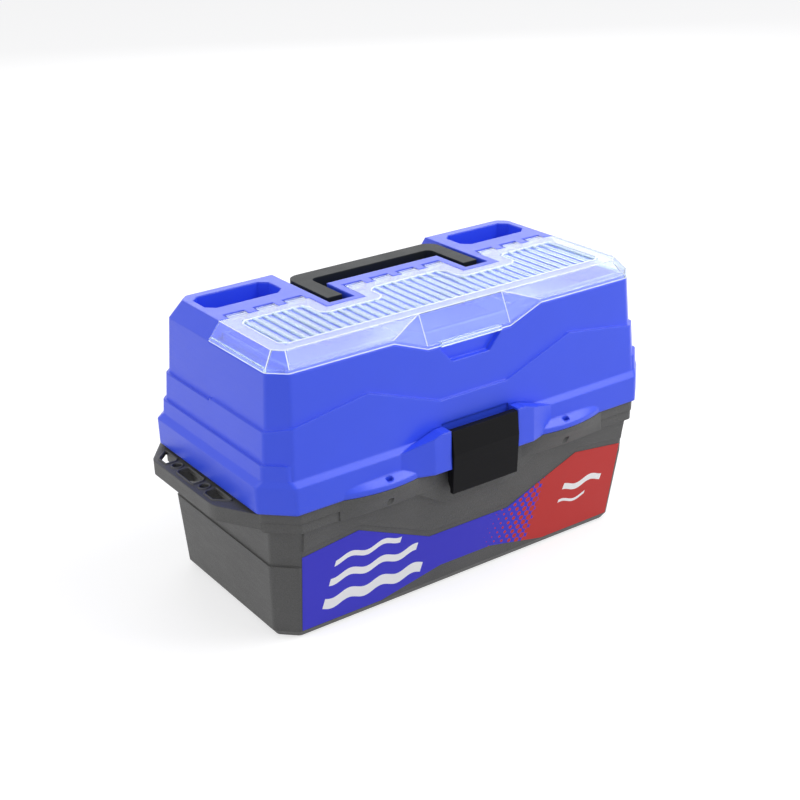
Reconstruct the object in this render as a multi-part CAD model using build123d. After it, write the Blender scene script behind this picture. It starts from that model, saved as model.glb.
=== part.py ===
from build123d import *
import math
import os

# Tackle box with three cantilever trays, in millimetres.
# X runs along the box, the front faces -Y and Z is up. The box stands on Z = 0, centred on the origin.

# Base tub
SEAM_Z = 121.0           # height of the base, up to the seam
SEAM_GAP = 0.4           # gap between the base rim and the lid flange
BASE_WALL = 2.8          # wall thickness of the base
BASE_FLOOR = 3.0         # floor thickness of the base
FOOT_BEVEL = 6.0         # height of the bevel around the bottom edge
FOOT_TUCK = 4.5          # how far that bevel runs inwards
FOOT_IN_X = 16.2         # wall above the bevel, inside the flange at each end
FOOT_IN_F = 24.0         # the same at the front
FOOT_IN_R = 6.5          # the same at the back
FOOT_C = 16.0            # plan chamfer of the wall's foot
WALL_IN_X = 9.0          # wall top, inside the flange at each end
WALL_IN_F = 6.5          # the same at the front
WALL_IN_R = 5.0          # the same at the back
WALL_C = 17.5            # plan chamfer of the wall top
RIM_H = 17.0             # height of the rim, which has two bands
RIM_BAND = 8.5           # height of the upper, wider band
RIM_STEP = 1.0           # lower band, inside the upper one
RIM_IN_X = 3.0           # rim, inside the flange at each end
RIM_IN_Y = 1.5           # rim, inside the flange front and back
RIM_C = 21.5             # plan chamfer of the rim
TIER_Z = 70.0            # height of the step in the end walls
TIER_STEP = 1.2          # how far the wall stands out below it
BROW = 1.6               # raised band under the rim at the front
APRON_X0, APRON_X1 = 33.0, 78.0   # rim apron behind the latch: half-width at its foot and at the rim
APRON_H = 16.0           # how far the apron hangs below the rim
CATCH_OUT = 3.0          # latch catch, proud of the apron
CATCH_H = 6.0            # height of the latch catch
CATCH_L = 44.0           # length of the latch catch

# Tool rack at each end of the base
RACK_OUT = 17.0          # reach beyond the flange
RACK_T = 4.0             # shelf thickness
RACK_DROP = 2.6          # shelf top, below the seam
RACK_BAND = 12.5         # height of the outer band
RACK_BAND_T = 3.0        # thickness of the outer band
RACK_FRONT = -42.0       # front end of the straight outer edge
RACK_REAR = 60.0         # rear end of the straight outer edge
RACK_SPLAY_F = 37.0      # length of the slanted front end
RACK_SPLAY_R = 28.0      # length of the slanted rear end
RACK_ROUND_F = 26.0      # rounding of the front corner
RACK_ROUND_R = 9.0       # rounding of the rear corner
RACK_HOLE_R = 4.6        # round tool holes
RACK_HOLES = (37.0, -9.5)                       # their places along Y
RACK_SLOTS = ((45.5, 70.0), (-1.0, 28.5), (-46.0, -18.0))   # tool slots, from and to along Y
RACK_SLOT_W = 12.0       # width of the tool slots
RACK_SLOT_C = 3.0        # their cut corners
RACK_EDGE = 4.5          # band left outside the slots
RACK_RIBS = (43.5, 30.5, -3.0, -16.0)           # ribs under the shelf, between its openings
RACK_RIB_T = 2.4         # thickness of the ribs

# Label sheet on the front wall
LABEL_T = 0.3
LABEL_LIFT = 1.0         # bottom edge above the foot bevel
LABEL_L = 316.0          # length along the bottom edge
LABEL_FLARE = 3.0        # its ends lean out by this much
LABEL_PEAK_X, LABEL_PEAK_H = 110.0, 79.0        # high points of its top edge
LABEL_END_H = 72.0       # height at its ends
LABEL_DIP_X, LABEL_DIP_H = 40.0, 47.0           # low stretch in the middle
LABEL_ARCH_X0, LABEL_ARCH_X1, LABEL_ARCH_H = 84.0, 26.0, 13.0   # raised stretch of its bottom edge
BROW_GAP = 6.0           # from the label up to the brow's edge

# Lid
LID_H = 123.0            # seam to the lid's top
LID_WALL = 2.6
PLAN_R = 5.0             # rounding of the plan's corners, base and lid
FLANGE_L = 380.0
FLANGE_D = 206.0
FLANGE_C = 22.0          # plan chamfer of the flange
FLANGE_H = 21.6          # height of the flange's upright face
FLANGE_SLOPE = 5.0       # height of its sloped top
SHOULDER_IN_X = 15.0     # lid wall at the shoulder, inside the flange at each end
SHOULDER_IN_F = 8.5      # the same at the front
SHOULDER_IN_R = 19.0     # the same at the back
SHOULDER_C = 13.0        # plan chamfer at the shoulder
DRAFT_X = 6.5            # wall's foot beyond the shoulder at each end
DRAFT_F = 2.5            # the same at the front
DRAFT_R = 6.5            # the same at the back
DRAFT_C = 2.0            # plan chamfer, larger at the foot
BEVEL_H = 14.0           # height of the bevel round the top
BEVEL_X, BEVEL_Y = 10.0, 11.5    # width of that bevel, ends and front
BEVEL_C = 7.5            # plan chamfer of the top face
STEP = 2.2               # how far the lower lid wall steps out
STEP_H = 62.5            # height of that step above the seam, at the ends
STEP_WAVE = ((160.0, 68.6), (98.0, 78.0), (33.0, 54.0))   # front edge of the step: half-width and height
LOW_STEP = 2.2           # second step, in the end walls and corners
LOW_STEP_H = 39.5        # its height above the seam
LUG_X = 88.0             # padlock lugs: place along X
LUG_L = 86.0             # their length
LUG_OUT = 8.5            # their reach beyond the flange
LUG_T = 4.0              # thickness at the edge
LUG_H = 9.0              # height where they run out on the flange
LUG_HOLE_L, LUG_HOLE_W = 6.0, 3.4
LUG_ROOT = 2.0           # lugs, sunk into the wall behind them
FADE = 0.5               # lugs and ears run out this close to the flange's face

# Latch
LATCH_W = 64.6
LATCH_GAP = 0.8          # to the flange's ears at each side
LATCH_BAY_IN = 1.2       # latch bay, sunk into the lid wall
EAR_L = 43.0             # length of the ears beside the latch
EAR_FLAT = 16.0          # level part of an ear's front
EAR_OUT = 9.0            # reach of the ears beyond the flange
EAR_H = 33.0             # height of the ears above the seam
EAR_FADE_H = 22.0        # height where the ears run out
LATCH_PIN_R = 2.0
LATCH_PIN_IN = 5.5       # latch axis behind the ears' front
LATCH_PIN_H = 25.0       # latch axis above the seam
LATCH_TOP = 7.0          # latch top above its axis
LATCH_H = 54.0           # height of the latch
LATCH_T = 3.6            # wall of the latch
LATCH_OUT = 2.0          # latch face, proud of the ears
LATCH_LEAN_TOP = 2.0     # its top edge leans back
LATCH_LEAN_LOW = 3.0     # its lower edge leans back
LATCH_BOSS_R = 4.6       # barrel round the pin
LATCH_NIB = 5.0          # height of the nib below the catch
LATCH_NIB_EASE = 1.0     # slope on its top and underside
LATCH_CLEAR = 0.5        # between latch and catch
CHEEK_T = 3.0            # side cheeks of the latch
CHEEK_C = 9.0            # their cut lower corner

# Rear hinge of the lid
HINGE_R = 4.5
HINGE_PIN_R = 2.0
HINGE_X = 112.0          # middle of each hinge
HINGE_KNUCKLE = 14.0     # length of one knuckle
HINGE_COUNT = 5          # knuckles in each hinge
HINGE_GAP = 0.5          # between knuckles
HINGE_LEAF = 6.5         # height of the knuckles' roots

# Fits and cutters
PIN_FIT = 0.05           # every pin in its bore, radius
OVER = 1.0               # cutters and roots run this far past the face they open or join

# Organiser well and pockets in the lid's top
WELL_FLOOR = 2.5
WELL_DEPTH = 27.5        # floor of the organiser well below the lid's top
WELL_RIM = 10.0          # its rim below the lid's top
WELL_IN = 8.5            # well, inside the shoulder
WELL_IN_X = 16.0         # the same at the ends
DECK_T = 2.6             # ledge round the well
POCKET_IN_X = 16.0       # side pockets, inside the shoulder at the end
POCKET_L, POCKET_W = 69.0, 34.0
POCKET_DEPTH = 26.0
POCKET_C = 7.0           # plan chamfer of the pockets
POCKET_BACK = 22.0       # hinge line to the pocket
GRIP_FLOOR = 22.0        # depth of the handle's recess
GRIP_HALF = 78.0         # half-width of the recess
ARM_SLOT_W = 23.0        # width of the slots for the handle's arms
SLOT_FRONT = 25.0        # slots reach this far in front of the cover's hinge line
COLLAR = 6.5             # border round the slots
RIDGE_BACK = 16.0        # ridge behind the hinge line
FINGER_X0, FINGER_X1 = 29.0, 18.0    # finger recess under the cover's tab: half-widths
FINGER_H = 14.0
FINGER_SILL = 2.0        # upright part of its sides
FINGER_DEPTH = 4.0

# Clear cover
COVER_T = 2.0
COVER_GAP = 0.6          # all round, to the lid
COVER_LIP = 2.8          # upright lip at the foot of the bevel
COVER_LEDGE = 1.0        # lip, proud of the bevel's foot
COVER_AXIS_Y = 8.0       # hinge line
COVER_AXIS_DROP = 2.5    # hinge line below the lid's top
COVER_EDGE = 5.6         # rear edge in front of the hinge line
KNUCKLE_R = 3.0
COVER_PIN_R = 1.25
COVER_PIN_END = 4.0      # pin beyond the outer knuckles
KNUCKLE_W = 17.0
KNUCKLE_PITCH = 26.0
KNUCKLE_COUNTS = (3, 4, 3)   # knuckles in each of the three groups
KNUCKLE_SIDE = 121.5     # middle of the outer groups
KNUCKLE_GAP = 0.5        # to the lid at each side
KNUCKLE_ROOM = 1.5       # to the lid behind and below
DIP_X0, DIP_X1, DIP = 40.0, 71.0, 12.2   # front lip hangs lower in the middle
DIP_CREASE = 0.6         # width left where the facets of the dip run to a point
TAB_L, TAB_OUT, TAB_RIDGE = 58.0, 2.6, 1.4
PANEL_IN = 11.0          # border of the ribbed panel
PANEL_DEPTH = 1.0
RIB_COUNT = 36
RIB_W = 3.4

# Carry handle
HANDLE_ARM_W = 14.0
HANDLE_T = 15.0
HANDLE_SIDE_GAP = 4.0    # between an arm and its slot's outer wall
HANDLE_PIN_R = 2.5
HANDLE_PIN_DROP = 10.0   # handle axis below the lid's top
HANDLE_PIN_Y = 15.0      # handle axis in front of the cover's hinge line
HANDLE_REACH = 66.0      # axis to the outer edge of the grip
HANDLE_GRIP_W = 17.0
HANDLE_ROUND = 3.0       # rounding of the grip's edges
HANDLE_CORNER = 12.0

# Trays and their arms
TRAY_COUNT = 3
TRAY_WALL = 2.0
TRAY_GAP = 4.0           # between stacked trays
TRAY_SINK = 22.0         # bottom tray's floor below the seam
TRAY_HEADROOM = 13.0     # above the top tray
TRAY_FRONT = 8.5         # behind the lid's front shoulder
TRAY_BACK = 40.0         # in front of the lid's rear shoulder
TRAY_ROW = 62.0          # depth of the front row
TRAY_MID_DROP = 4.0      # middle wall below the rim
TRAY_CELLS = (2, 3, 4)   # cells in the front row, from the bottom tray up
DIVIDER_T = 1.6
DIVIDER_FIT = 0.1        # play of a divider between the walls
DIVIDER_FOOT_W, DIVIDER_FOOT_T = 4.0, 1.0       # flat ends of a tray divider, against the walls
ARM_LEAN = 36.6          # each tray's pivots stand this far in front of the ones below
ARM_FIRST = 30.0         # base pivot to the bottom tray's pivot
ARM_SPACING = 40.0       # from the rear arm to the front arm
ARM_BACK = 16.0          # rear base pivot behind the trays
ARM_W, ARM_T = 13.0, 3.0
ARM_GAP = 0.8            # between an arm and the trays
ARM_PIN_R = 2.5
ARM_HEAD_R, ARM_HEAD_T = 4.5, 1.4
ARM_BOSS_R, ARM_BOSS_GAP = 7.0, 0.4
PIVOT_UP = 17.0          # pivots above the trays' floors
LID_TRAVEL = 100.0       # opening angle of the lid, degrees
ARM_RATIO = 0.78         # turn of the arms for each turn of the lid
GUIDE_STEPS = 12         # points on the guide pin's path
CAM_T = 3.0              # guide plates in the lid
CAM_GAP = 1.4            # between guide plate and pin heads
CAM_WALL_GAP = 0.5       # between guide plate and the lid's narrowest point beside it
CAM_PLAY = 0.4           # play of the guide pin in its slot
CAM_EDGE = 6.0           # plate round the slot
CAM_RIB_T = 4.0          # lid ribs that carry the plate

# Cross walls in the organiser well
WELL_CELLS = 3
WELL_WALL_DROP = 5.0     # their tops below the well's rim

# Heights and plan sizes that follow
LID_Z = SEAM_Z + SEAM_GAP
TOP_Z = SEAM_Z + LID_H
SHOULDER_Z = TOP_Z - BEVEL_H
FLANGE_TOP = LID_Z + FLANGE_H + FLANGE_SLOPE
FX, FY = FLANGE_L / 2, FLANGE_D / 2
# a plan section is its half-length, its reach to the front and to the back, and its corner chamfer
FLANGE = (FX, FY, FY, FLANGE_C)
RIM = (FX - RIM_IN_X, FY - RIM_IN_Y, FY - RIM_IN_Y, RIM_C)
WALL_TOP = (FX - WALL_IN_X, FY - WALL_IN_F, FY - WALL_IN_R, WALL_C)
FOOT = (FX - FOOT_IN_X, FY - FOOT_IN_F, FY - FOOT_IN_R, FOOT_C)
RIM_Z = SEAM_Z - RIM_H
BAND_Z = SEAM_Z - RIM_BAND
SHOULDER = (FX - SHOULDER_IN_X, FY - SHOULDER_IN_F, FY - SHOULDER_IN_R, SHOULDER_C)
LID_FOOT = (SHOULDER[0] + DRAFT_X, SHOULDER[1] + DRAFT_F, SHOULDER[2] + DRAFT_R, SHOULDER_C + DRAFT_C)
TOP = (SHOULDER[0] - BEVEL_X, SHOULDER[1] - BEVEL_Y, SHOULDER[2] - BEVEL_Y, BEVEL_C)
EAR_Y = -FY - EAR_OUT
LATCH_Y = EAR_Y - LATCH_OUT
LATCH_PIN_Y = EAR_Y + LATCH_PIN_IN
LATCH_PIN_Z = SEAM_Z + LATCH_PIN_H
BAY_X = LATCH_W / 2 + LATCH_GAP
HINGE_Y = -LATCH_Y - HINGE_R
HINGE_Z = SEAM_Z + SEAM_GAP / 2
COVER_AXIS_Z = TOP_Z - COVER_AXIS_DROP
COVER_REAR = COVER_AXIS_Y - COVER_EDGE
REAR_ZONE = COVER_REAR + COVER_GAP
SLOT_X1 = GRIP_HALF
SLOT_X0 = GRIP_HALF - ARM_SLOT_W
SLOT_Y = COVER_AXIS_Y - SLOT_FRONT
RIDGE_Y = COVER_AXIS_Y + RIDGE_BACK
WELL_Z = TOP_Z - WELL_DEPTH
CEILING = WELL_Z - WELL_FLOOR
WELL_X = SHOULDER[0] - WELL_IN_X
WELL_Y = -SHOULDER[1] + WELL_IN
GRIP_Z = TOP_Z - GRIP_FLOOR

TRAY_Z = SEAM_Z - TRAY_SINK
TRAY_PITCH = (CEILING - TRAY_HEADROOM - TRAY_Z + TRAY_GAP) / TRAY_COUNT
TRAY_H = TRAY_PITCH - TRAY_GAP
TRAY_Y0 = -SHOULDER[1] + TRAY_FRONT
TRAY_Y1 = SHOULDER[2] - TRAY_BACK
CAM_X1 = SHOULDER[0] - LID_WALL - CAM_WALL_GAP
CAM_X0 = CAM_X1 - CAM_T
ARM_X1 = CAM_X0 - CAM_GAP - ARM_HEAD_T
ARM_X0 = ARM_X1 - ARM_T
TRAY_X = ARM_X0 - ARM_GAP
ARM_TILT = math.atan2(TRAY_PITCH, ARM_LEAN)
ARM_REACH = [ARM_FIRST + i * math.hypot(TRAY_PITCH, ARM_LEAN) for i in range(TRAY_COUNT)]
ARM_Z = TRAY_Z + PIVOT_UP - ARM_FIRST * math.sin(ARM_TILT)
ARM_Y = {"rear": TRAY_Y1 + ARM_BACK, "front": TRAY_Y1 + ARM_BACK - ARM_SPACING}


def block(x0, x1, y0, y1, z0, z1):
    """Box between two corners."""
    return Pos((x0 + x1) / 2, (y0 + y1) / 2, (z0 + z1) / 2) * Box(x1 - x0, y1 - y0, z1 - z0)


def rod(x0, x1, y, z, r):
    """Round bar along X."""
    return Pos((x0 + x1) / 2, y, z) * Rot(0, 90, 0) * Cylinder(r, x1 - x0)


def prism_xy(pts, z0, z1):
    """Outline in plan, raised from z0 to z1."""
    return extrude(Plane.XY.offset(z0) * Polygon(*pts, align=None), z1 - z0, dir=(0, 0, 1))


def prism_xz(pts, y0, y1):
    """Outline seen from the front, from y0 back to y1."""
    return extrude(Plane.XZ.offset(-y0) * Polygon(*pts, align=None), y1 - y0, dir=(0, 1, 0))


def prism_yz(pts, x0, x1):
    """Outline seen from the end, from x0 to x1."""
    return extrude(Plane.YZ.offset(x0) * Polygon(*pts, align=None), x1 - x0, dir=(1, 0, 0))


def octagon(size, z, r):
    """Plan section: a rectangle with chamfered corners, its eight edges rounded by r."""
    hx, front, rear, c = size
    plan = Polygon(*symmetric([(hx - c, -front), (hx, c - front), (hx, rear - c), (hx - c, rear)]), align=None)
    if r:
        plan = fillet(plan.vertices(), r)
    return Plane.XY.offset(z) * plan


def grow(size, d):
    """Plan section offset outwards by d."""
    return size[0] + d, size[1] + d, size[2] + d, size[3] + d * (2 - math.sqrt(2))


def widen(size, d):
    """Plan section with its ends and corners moved out by d, its front and back kept."""
    return size[0] + d, size[1], size[2], size[3] - d * (math.sqrt(2) - 1)


def between(s0, z0, s1, z1, z):
    """Plan section at z on the straight wall from s0 to s1."""
    t = (z - z0) / (z1 - z0)
    return tuple(a + (b - a) * t for a, b in zip(s0, s1))


def tier(z0, s0, z1, s1, r=0):
    """Solid between two plan sections."""
    return loft([octagon(s0, z0, r), octagon(s1, z1, r)], ruled=True)


def both_ends(shape):
    """A shape and its mirror image at the other end of the box."""
    return [shape, mirror(shape, Plane.YZ)]


def symmetric(right):
    """Outline from its right half, mirrored to the left."""
    return right + [(-x, z) for x, z in reversed(right)]


# Base tub

def wall_at(z):
    """Outer section of the base wall at z."""
    return between(FOOT, FOOT_BEVEL, WALL_TOP, RIM_Z, z)


def wall_y(z):
    """Front face of the base wall at z."""
    return -wall_at(z)[1]


def label_outline(rise):
    """Top and foot of the label's right half on the front wall, the top moved up by rise."""
    low = FOOT_BEVEL + LABEL_LIFT
    top = [(LABEL_L / 2 + LABEL_FLARE, LABEL_END_H), (LABEL_PEAK_X, LABEL_PEAK_H), (LABEL_DIP_X, LABEL_DIP_H)]
    foot = [(LABEL_ARCH_X1, LABEL_ARCH_H), (LABEL_ARCH_X0, 0), (LABEL_L / 2, 0)]
    return [(x, low + h + rise) for x, h in top], [(x, low + h) for x, h in foot]


def lens(x, length, reach, y):
    """Pointed oval in plan, bulging forwards from the line at y."""
    x0, x1, root = x - length / 2, x + length / 2, y + LUG_ROOT
    arc = ThreePointArc((x0, y), (x, y - reach), (x1, y))
    back = Polyline((x1, y), (x1, root), (x0, root), (x0, y))
    return make_face(arc.edges() + back.edges())


def lug(z_thin, z_edge, z_full):
    """Padlock lug: full reach from z_edge to z_full, running out at z_thin."""
    root = -FY + RIM_IN_Y
    edge = Plane.XY.offset(z_edge) * lens(LUG_X, LUG_L, LUG_OUT, root)
    thin = Plane.XY.offset(z_thin) * lens(LUG_X, LUG_L, RIM_IN_Y + FADE, root)
    return extrude(edge, z_full - z_edge) + loft([edge, thin], ruled=True)


def lug_hole():
    """Oval hole down through both lugs."""
    oval = SlotOverall(LUG_HOLE_L, LUG_HOLE_W)
    return Pos(LUG_X, -FY - LUG_OUT / 2 + RIM_IN_Y, RIM_Z) * extrude(oval, RIM_H + FLANGE_H)


def rack():
    """Tool rack at the right-hand end: holed shelf, outer band and ribs."""
    out, end = FX + RACK_OUT, RIM[0] - RIM_STEP
    root = wall_at(TIER_Z)[0] - BASE_WALL / 2
    top = SEAM_Z - RACK_DROP
    y0, y1 = RACK_FRONT - RACK_SPLAY_F, RACK_REAR + RACK_SPLAY_R
    pts = [(root, y0), (end, y0), (out, RACK_FRONT), (out, RACK_REAR), (end, y1), (root, y1)]
    edge = Polygon(*pts, align=None)
    for corner, r in ((pts[2], RACK_ROUND_F), (pts[3], RACK_ROUND_R)):
        edge = fillet(edge.vertices().sort_by_distance(corner)[0], r)
    slab = extrude(Plane.XY.offset(top - RACK_T) * edge, RACK_T)
    band = extrude(Plane.XY.offset(top - RACK_BAND) * (edge - offset(edge, -RACK_BAND_T)), RACK_BAND)
    band -= block(root, out, RACK_REAR, y1, top - RACK_BAND, top - RACK_T)
    ribs = []
    for y in RACK_RIBS:
        x1 = out - RACK_BAND_T
        foot = [(root, RIM_Z - RACK_T), (x1, top - RACK_BAND / 2), (x1, top), (root, top)]
        ribs.append(prism_xz(foot, y - RACK_RIB_T / 2, y + RACK_RIB_T / 2))
    shelf = slab + [band] + ribs
    x1 = out - RACK_EDGE
    x0 = x1 - RACK_SLOT_W
    cuts = [Pos((x0 + x1) / 2, y, top - RACK_T) * Cylinder(RACK_HOLE_R, 3 * RACK_T) for y in RACK_HOLES]
    for y0, y1 in RACK_SLOTS:
        c = RACK_SLOT_C
        front = [(x0, y0 + c), (x0 + c, y0), (x1, y0)]
        if y0 < RACK_FRONT + c:
            front = [(x0, y0), (x1, y0 + RACK_SLOT_W)]
        rear = [(x1, y1 - c), (x1 - c, y1), (x0, y1)]
        if y1 > RACK_REAR - c:
            rear = [(x1, y1 - RACK_SLOT_W), (x0, y1)]
        cuts.append(prism_xy(front + rear, top - 2 * RACK_T, top + RACK_T))
    return shelf - cuts


def base_tub():
    """Tapering tub with a rim band, tool racks, front brow, latch apron and tray pivots."""
    r = PLAN_R
    foot, knee = widen(FOOT, TIER_STEP), wall_at(TIER_Z)
    band = grow(RIM, -RIM_STEP)
    tub = tier(0, grow(foot, -FOOT_TUCK), FOOT_BEVEL, foot, r) + [
        tier(FOOT_BEVEL, foot, TIER_Z, widen(knee, TIER_STEP), r),
        tier(TIER_Z, knee, RIM_Z, WALL_TOP, r),
        tier(RIM_Z, band, BAND_Z, band, r),
        tier(BAND_Z, RIM, SEAM_Z, RIM, r),
    ]
    # brow: the front wall stands proud above a zigzag edge
    edge, _ = label_outline(BROW_GAP)
    brow_top = RIM_Z + OVER
    low = wall_at(BASE_FLOOR)
    proud = (low[0], low[1] + BROW, low[2] - OVER, FOOT_C)
    proud_top = (WALL_TOP[0], WALL_TOP[1] + BROW, WALL_TOP[2] - OVER, WALL_C)
    brow = tier(BASE_FLOOR, proud, brow_top, proud_top)
    brow &= prism_xz(symmetric([(edge[0][0], brow_top)] + edge), -FY, 0)
    # apron of the rim behind the latch, with the catch
    apron_y = -RIM[1]
    apron_edge = symmetric([(APRON_X1, BAND_Z + OVER), (APRON_X0, RIM_Z - APRON_H)])
    apron = prism_xz(apron_edge, apron_y, wall_y(SEAM_Z))
    nose = [(apron_y, RIM_Z), (apron_y - CATCH_OUT, RIM_Z), (apron_y, RIM_Z + CATCH_H)]
    catch = prism_yz(nose, -CATCH_L / 2, CATCH_L / 2)
    lugs = both_ends(lug(RIM_Z, SEAM_Z - LUG_T, SEAM_Z))
    tub += [brow, apron, catch] + lugs + both_ends(rack())
    # inside of the tub, with the wider part inside the rim
    w = -BASE_WALL
    low = FOOT_BEVEL + BASE_FLOOR / 2
    inside = tier(BASE_FLOOR, grow(wall_at(BASE_FLOOR), w - FOOT_TUCK / 2), low, grow(wall_at(low), w))
    inside += tier(low, grow(wall_at(low), w), RIM_Z, grow(WALL_TOP, w))
    inside += tier(RIM_Z, grow(WALL_TOP, w), RIM_Z + BASE_WALL, grow(band, w))
    inside += tier(RIM_Z + BASE_WALL, grow(band, w), SEAM_Z + OVER, grow(band, w))
    tub -= inside
    # pivot bosses for the tray arms
    wall_x = wall_at(ARM_Z)[0] - BASE_WALL
    for y in ARM_Y.values():
        tub += both_ends(rod(ARM_X1 + ARM_BOSS_GAP, wall_x + BASE_WALL / 2, y, ARM_Z, ARM_BOSS_R))
    for y in ARM_Y.values():
        tub -= both_ends(rod(ARM_X0, wall_x, y, ARM_Z, ARM_PIN_R + PIN_FIT))
    # rear hinge knuckles
    tub += hinge_knuckles(0)
    tub -= hinge_bores()
    return tub - both_ends(lug_hole())


def hinge_starts():
    """X where each knuckle of the right-hand hinge begins."""
    pitch = HINGE_KNUCKLE + HINGE_GAP
    first = HINGE_X - (HINGE_COUNT * pitch - HINGE_GAP) / 2
    return [first + i * pitch for i in range(HINGE_COUNT)]


def hinge_knuckles(odd):
    """Knuckles of the rear hinge: even ones on the base, odd ones on the lid."""
    leaves = []
    for x in hinge_starts()[odd::2]:
        low, high = HINGE_Z - HINGE_LEAF, HINGE_Z - SEAM_GAP
        if odd:
            low, high = HINGE_Z + SEAM_GAP, HINGE_Z + HINGE_LEAF
        leaf = block(x, x + HINGE_KNUCKLE, RIM[2] - BASE_WALL / 2, HINGE_Y, low, high)
        leaves += both_ends(rod(x, x + HINGE_KNUCKLE, HINGE_Y, HINGE_Z, HINGE_R) + leaf)
    return leaves


def hinge_bores():
    """Bores along the two rear hinges."""
    start, end = hinge_starts()[0], hinge_starts()[-1] + HINGE_KNUCKLE
    return both_ends(rod(start - OVER, end + OVER, HINGE_Y, HINGE_Z, HINGE_PIN_R + PIN_FIT))


def hinge_pin():
    """Steel pin of the right-hand rear hinge."""
    return rod(hinge_starts()[0], hinge_starts()[-1] + HINGE_KNUCKLE, HINGE_Y, HINGE_Z, HINGE_PIN_R)


def front_label():
    """Printed sheet on the front wall, wide at its ends and narrow in the middle."""
    rise, run = RIM_Z - FOOT_BEVEL, WALL_TOP[1] - FOOT[1]
    slant = math.hypot(rise, run) / rise
    top, foot = ([(x, (z - FOOT_BEVEL) * slant) for x, z in edge] for edge in label_outline(0))
    face = Plane(origin=(0, wall_y(FOOT_BEVEL), FOOT_BEVEL), x_dir=(1, 0, 0), z_dir=(0, -rise, -run))
    outline = symmetric(top) + [(-x, z) for x, z in reversed(foot)] + foot
    return extrude(face * Polygon(*outline, align=None), LABEL_T, dir=face.z_dir)


# Lid

def lid_at(z):
    """Outer section of the lid's upper wall at z."""
    return between(LID_FOOT, FLANGE_TOP, SHOULDER, SHOULDER_Z, z)


def top_form(inset, r=0):
    """Bevelled top of the lid above the shoulder, offset inwards."""
    return tier(SHOULDER_Z, grow(SHOULDER, -inset), TOP_Z - inset, grow(TOP, -inset), r)


def lid_form():
    """Outside of the lid: flange, two stepped wall tiers and the bevelled top."""
    r, low_z = PLAN_R, SEAM_Z + LOW_STEP_H
    low, mid = grow(lid_at(FLANGE_TOP), STEP), grow(lid_at(low_z), STEP)
    flange = tier(LID_Z, FLANGE, LID_Z + FLANGE_H, FLANGE, r)
    flange += tier(LID_Z + FLANGE_H, FLANGE, FLANGE_TOP, widen(low, LOW_STEP), r)
    wave = [(x, SEAM_Z + h) for x, h in STEP_WAVE]
    crest = max(z for _, z in wave)
    skirt = tier(FLANGE_TOP, low, crest, grow(lid_at(crest), STEP), r)
    front = prism_xz(symmetric([(FX, LID_Z), (FX, SEAM_Z + STEP_H)] + wave), -FY, 0)
    skirt &= front + block(-FX, FX, 0, FY, LID_Z, SEAM_Z + STEP_H)
    # the second step ends just behind the front and back faces
    ends = [(x, f - OVER, b - OVER, c - OVER) for x, f, b, c in (widen(low, LOW_STEP), widen(mid, LOW_STEP))]
    step = tier(FLANGE_TOP, ends[0], low_z, ends[1], r)
    wall = tier(LID_Z, lid_at(LID_Z), SHOULDER_Z, SHOULDER, r)
    return flange + [skirt, step, wall, top_form(0, r)]


def lid_cavity():
    """Space inside the lid's walls, up to the ledge of the well and the top of the rear part."""
    w = -LID_WALL
    deck = SHOULDER_Z - DECK_T
    space = tier(LID_Z - OVER, grow(FLANGE, w), LID_Z + FLANGE_H - LID_WALL, grow(FLANGE, w))
    space += tier(LID_Z + FLANGE_H - LID_WALL, grow(FLANGE, w), FLANGE_TOP, grow(lid_at(FLANGE_TOP), w))
    wall = tier(FLANGE_TOP, grow(lid_at(FLANGE_TOP), w), deck, grow(lid_at(deck), w))
    wall -= block(-FX, FX, -FY, WELL_Y - WELL_FLOOR, CEILING - LID_WALL, TOP_Z)
    rear = top_form(LID_WALL) + tier(deck, grow(lid_at(deck), w), SHOULDER_Z, grow(SHOULDER, w))
    rear &= block(-FX, FX, COVER_AXIS_Y + 2 * KNUCKLE_R + LID_WALL, FY, deck - OVER, TOP_Z)
    return space + [wall, rear]


def well_outline(d):
    """Plan of the organiser well, offset outwards by d: it steps round the handle's slots."""
    front = SLOT_Y - COLLAR - LID_WALL + d
    x1 = SLOT_X1 + COLLAR + LID_WALL - d
    x0 = SLOT_X0 - COLLAR - LID_WALL + d
    rear = REAR_ZONE - LID_WALL + d
    end = [(WELL_X + d, WELL_Y - d), (WELL_X + d, rear)]
    return symmetric(end + [(x1, rear), (x1, front), (x0, front), (x0, rear)])


def pocket_outline(d):
    """Plan of the right-hand pocket, offset outwards by d."""
    x1 = SHOULDER[0] - POCKET_IN_X
    y0 = COVER_AXIS_Y + POCKET_BACK
    c = POCKET_C + d * (2 - math.sqrt(2))
    xs, ys = (x1 - POCKET_L - d, x1 + d), (y0 - d, y0 + POCKET_W + d)
    return [(xs[0] + c, ys[0]), (xs[1] - c, ys[0]), (xs[1], ys[0] + c), (xs[1], ys[1] - c),
            (xs[1] - c, ys[1]), (xs[0] + c, ys[1]), (xs[0], ys[1] - c), (xs[0], ys[0] + c)]


def grip_outline(d):
    """Plan of the handle's recess and its two slots, offset outwards by d."""
    x0, x1, front = SLOT_X0 - d, SLOT_X1 + d, SLOT_Y - d
    return symmetric([(x1, FY), (x1, front), (x0, front), (x0, RIDGE_Y - d)])


def collar(d, z0, z1):
    """Border round the right-hand slot, grown by d."""
    return block(SLOT_X0 - COLLAR - d, SLOT_X1 + COLLAR + d, SLOT_Y - COLLAR - d, REAR_ZONE + d, z0, z1)


def knuckle_places():
    """Middle of each cover knuckle along X, group by group."""
    groups = []
    for middle, count in zip((-KNUCKLE_SIDE, 0, KNUCKLE_SIDE), KNUCKLE_COUNTS):
        groups.append([middle + (i - (count - 1) / 2) * KNUCKLE_PITCH for i in range(count)])
    return groups


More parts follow.
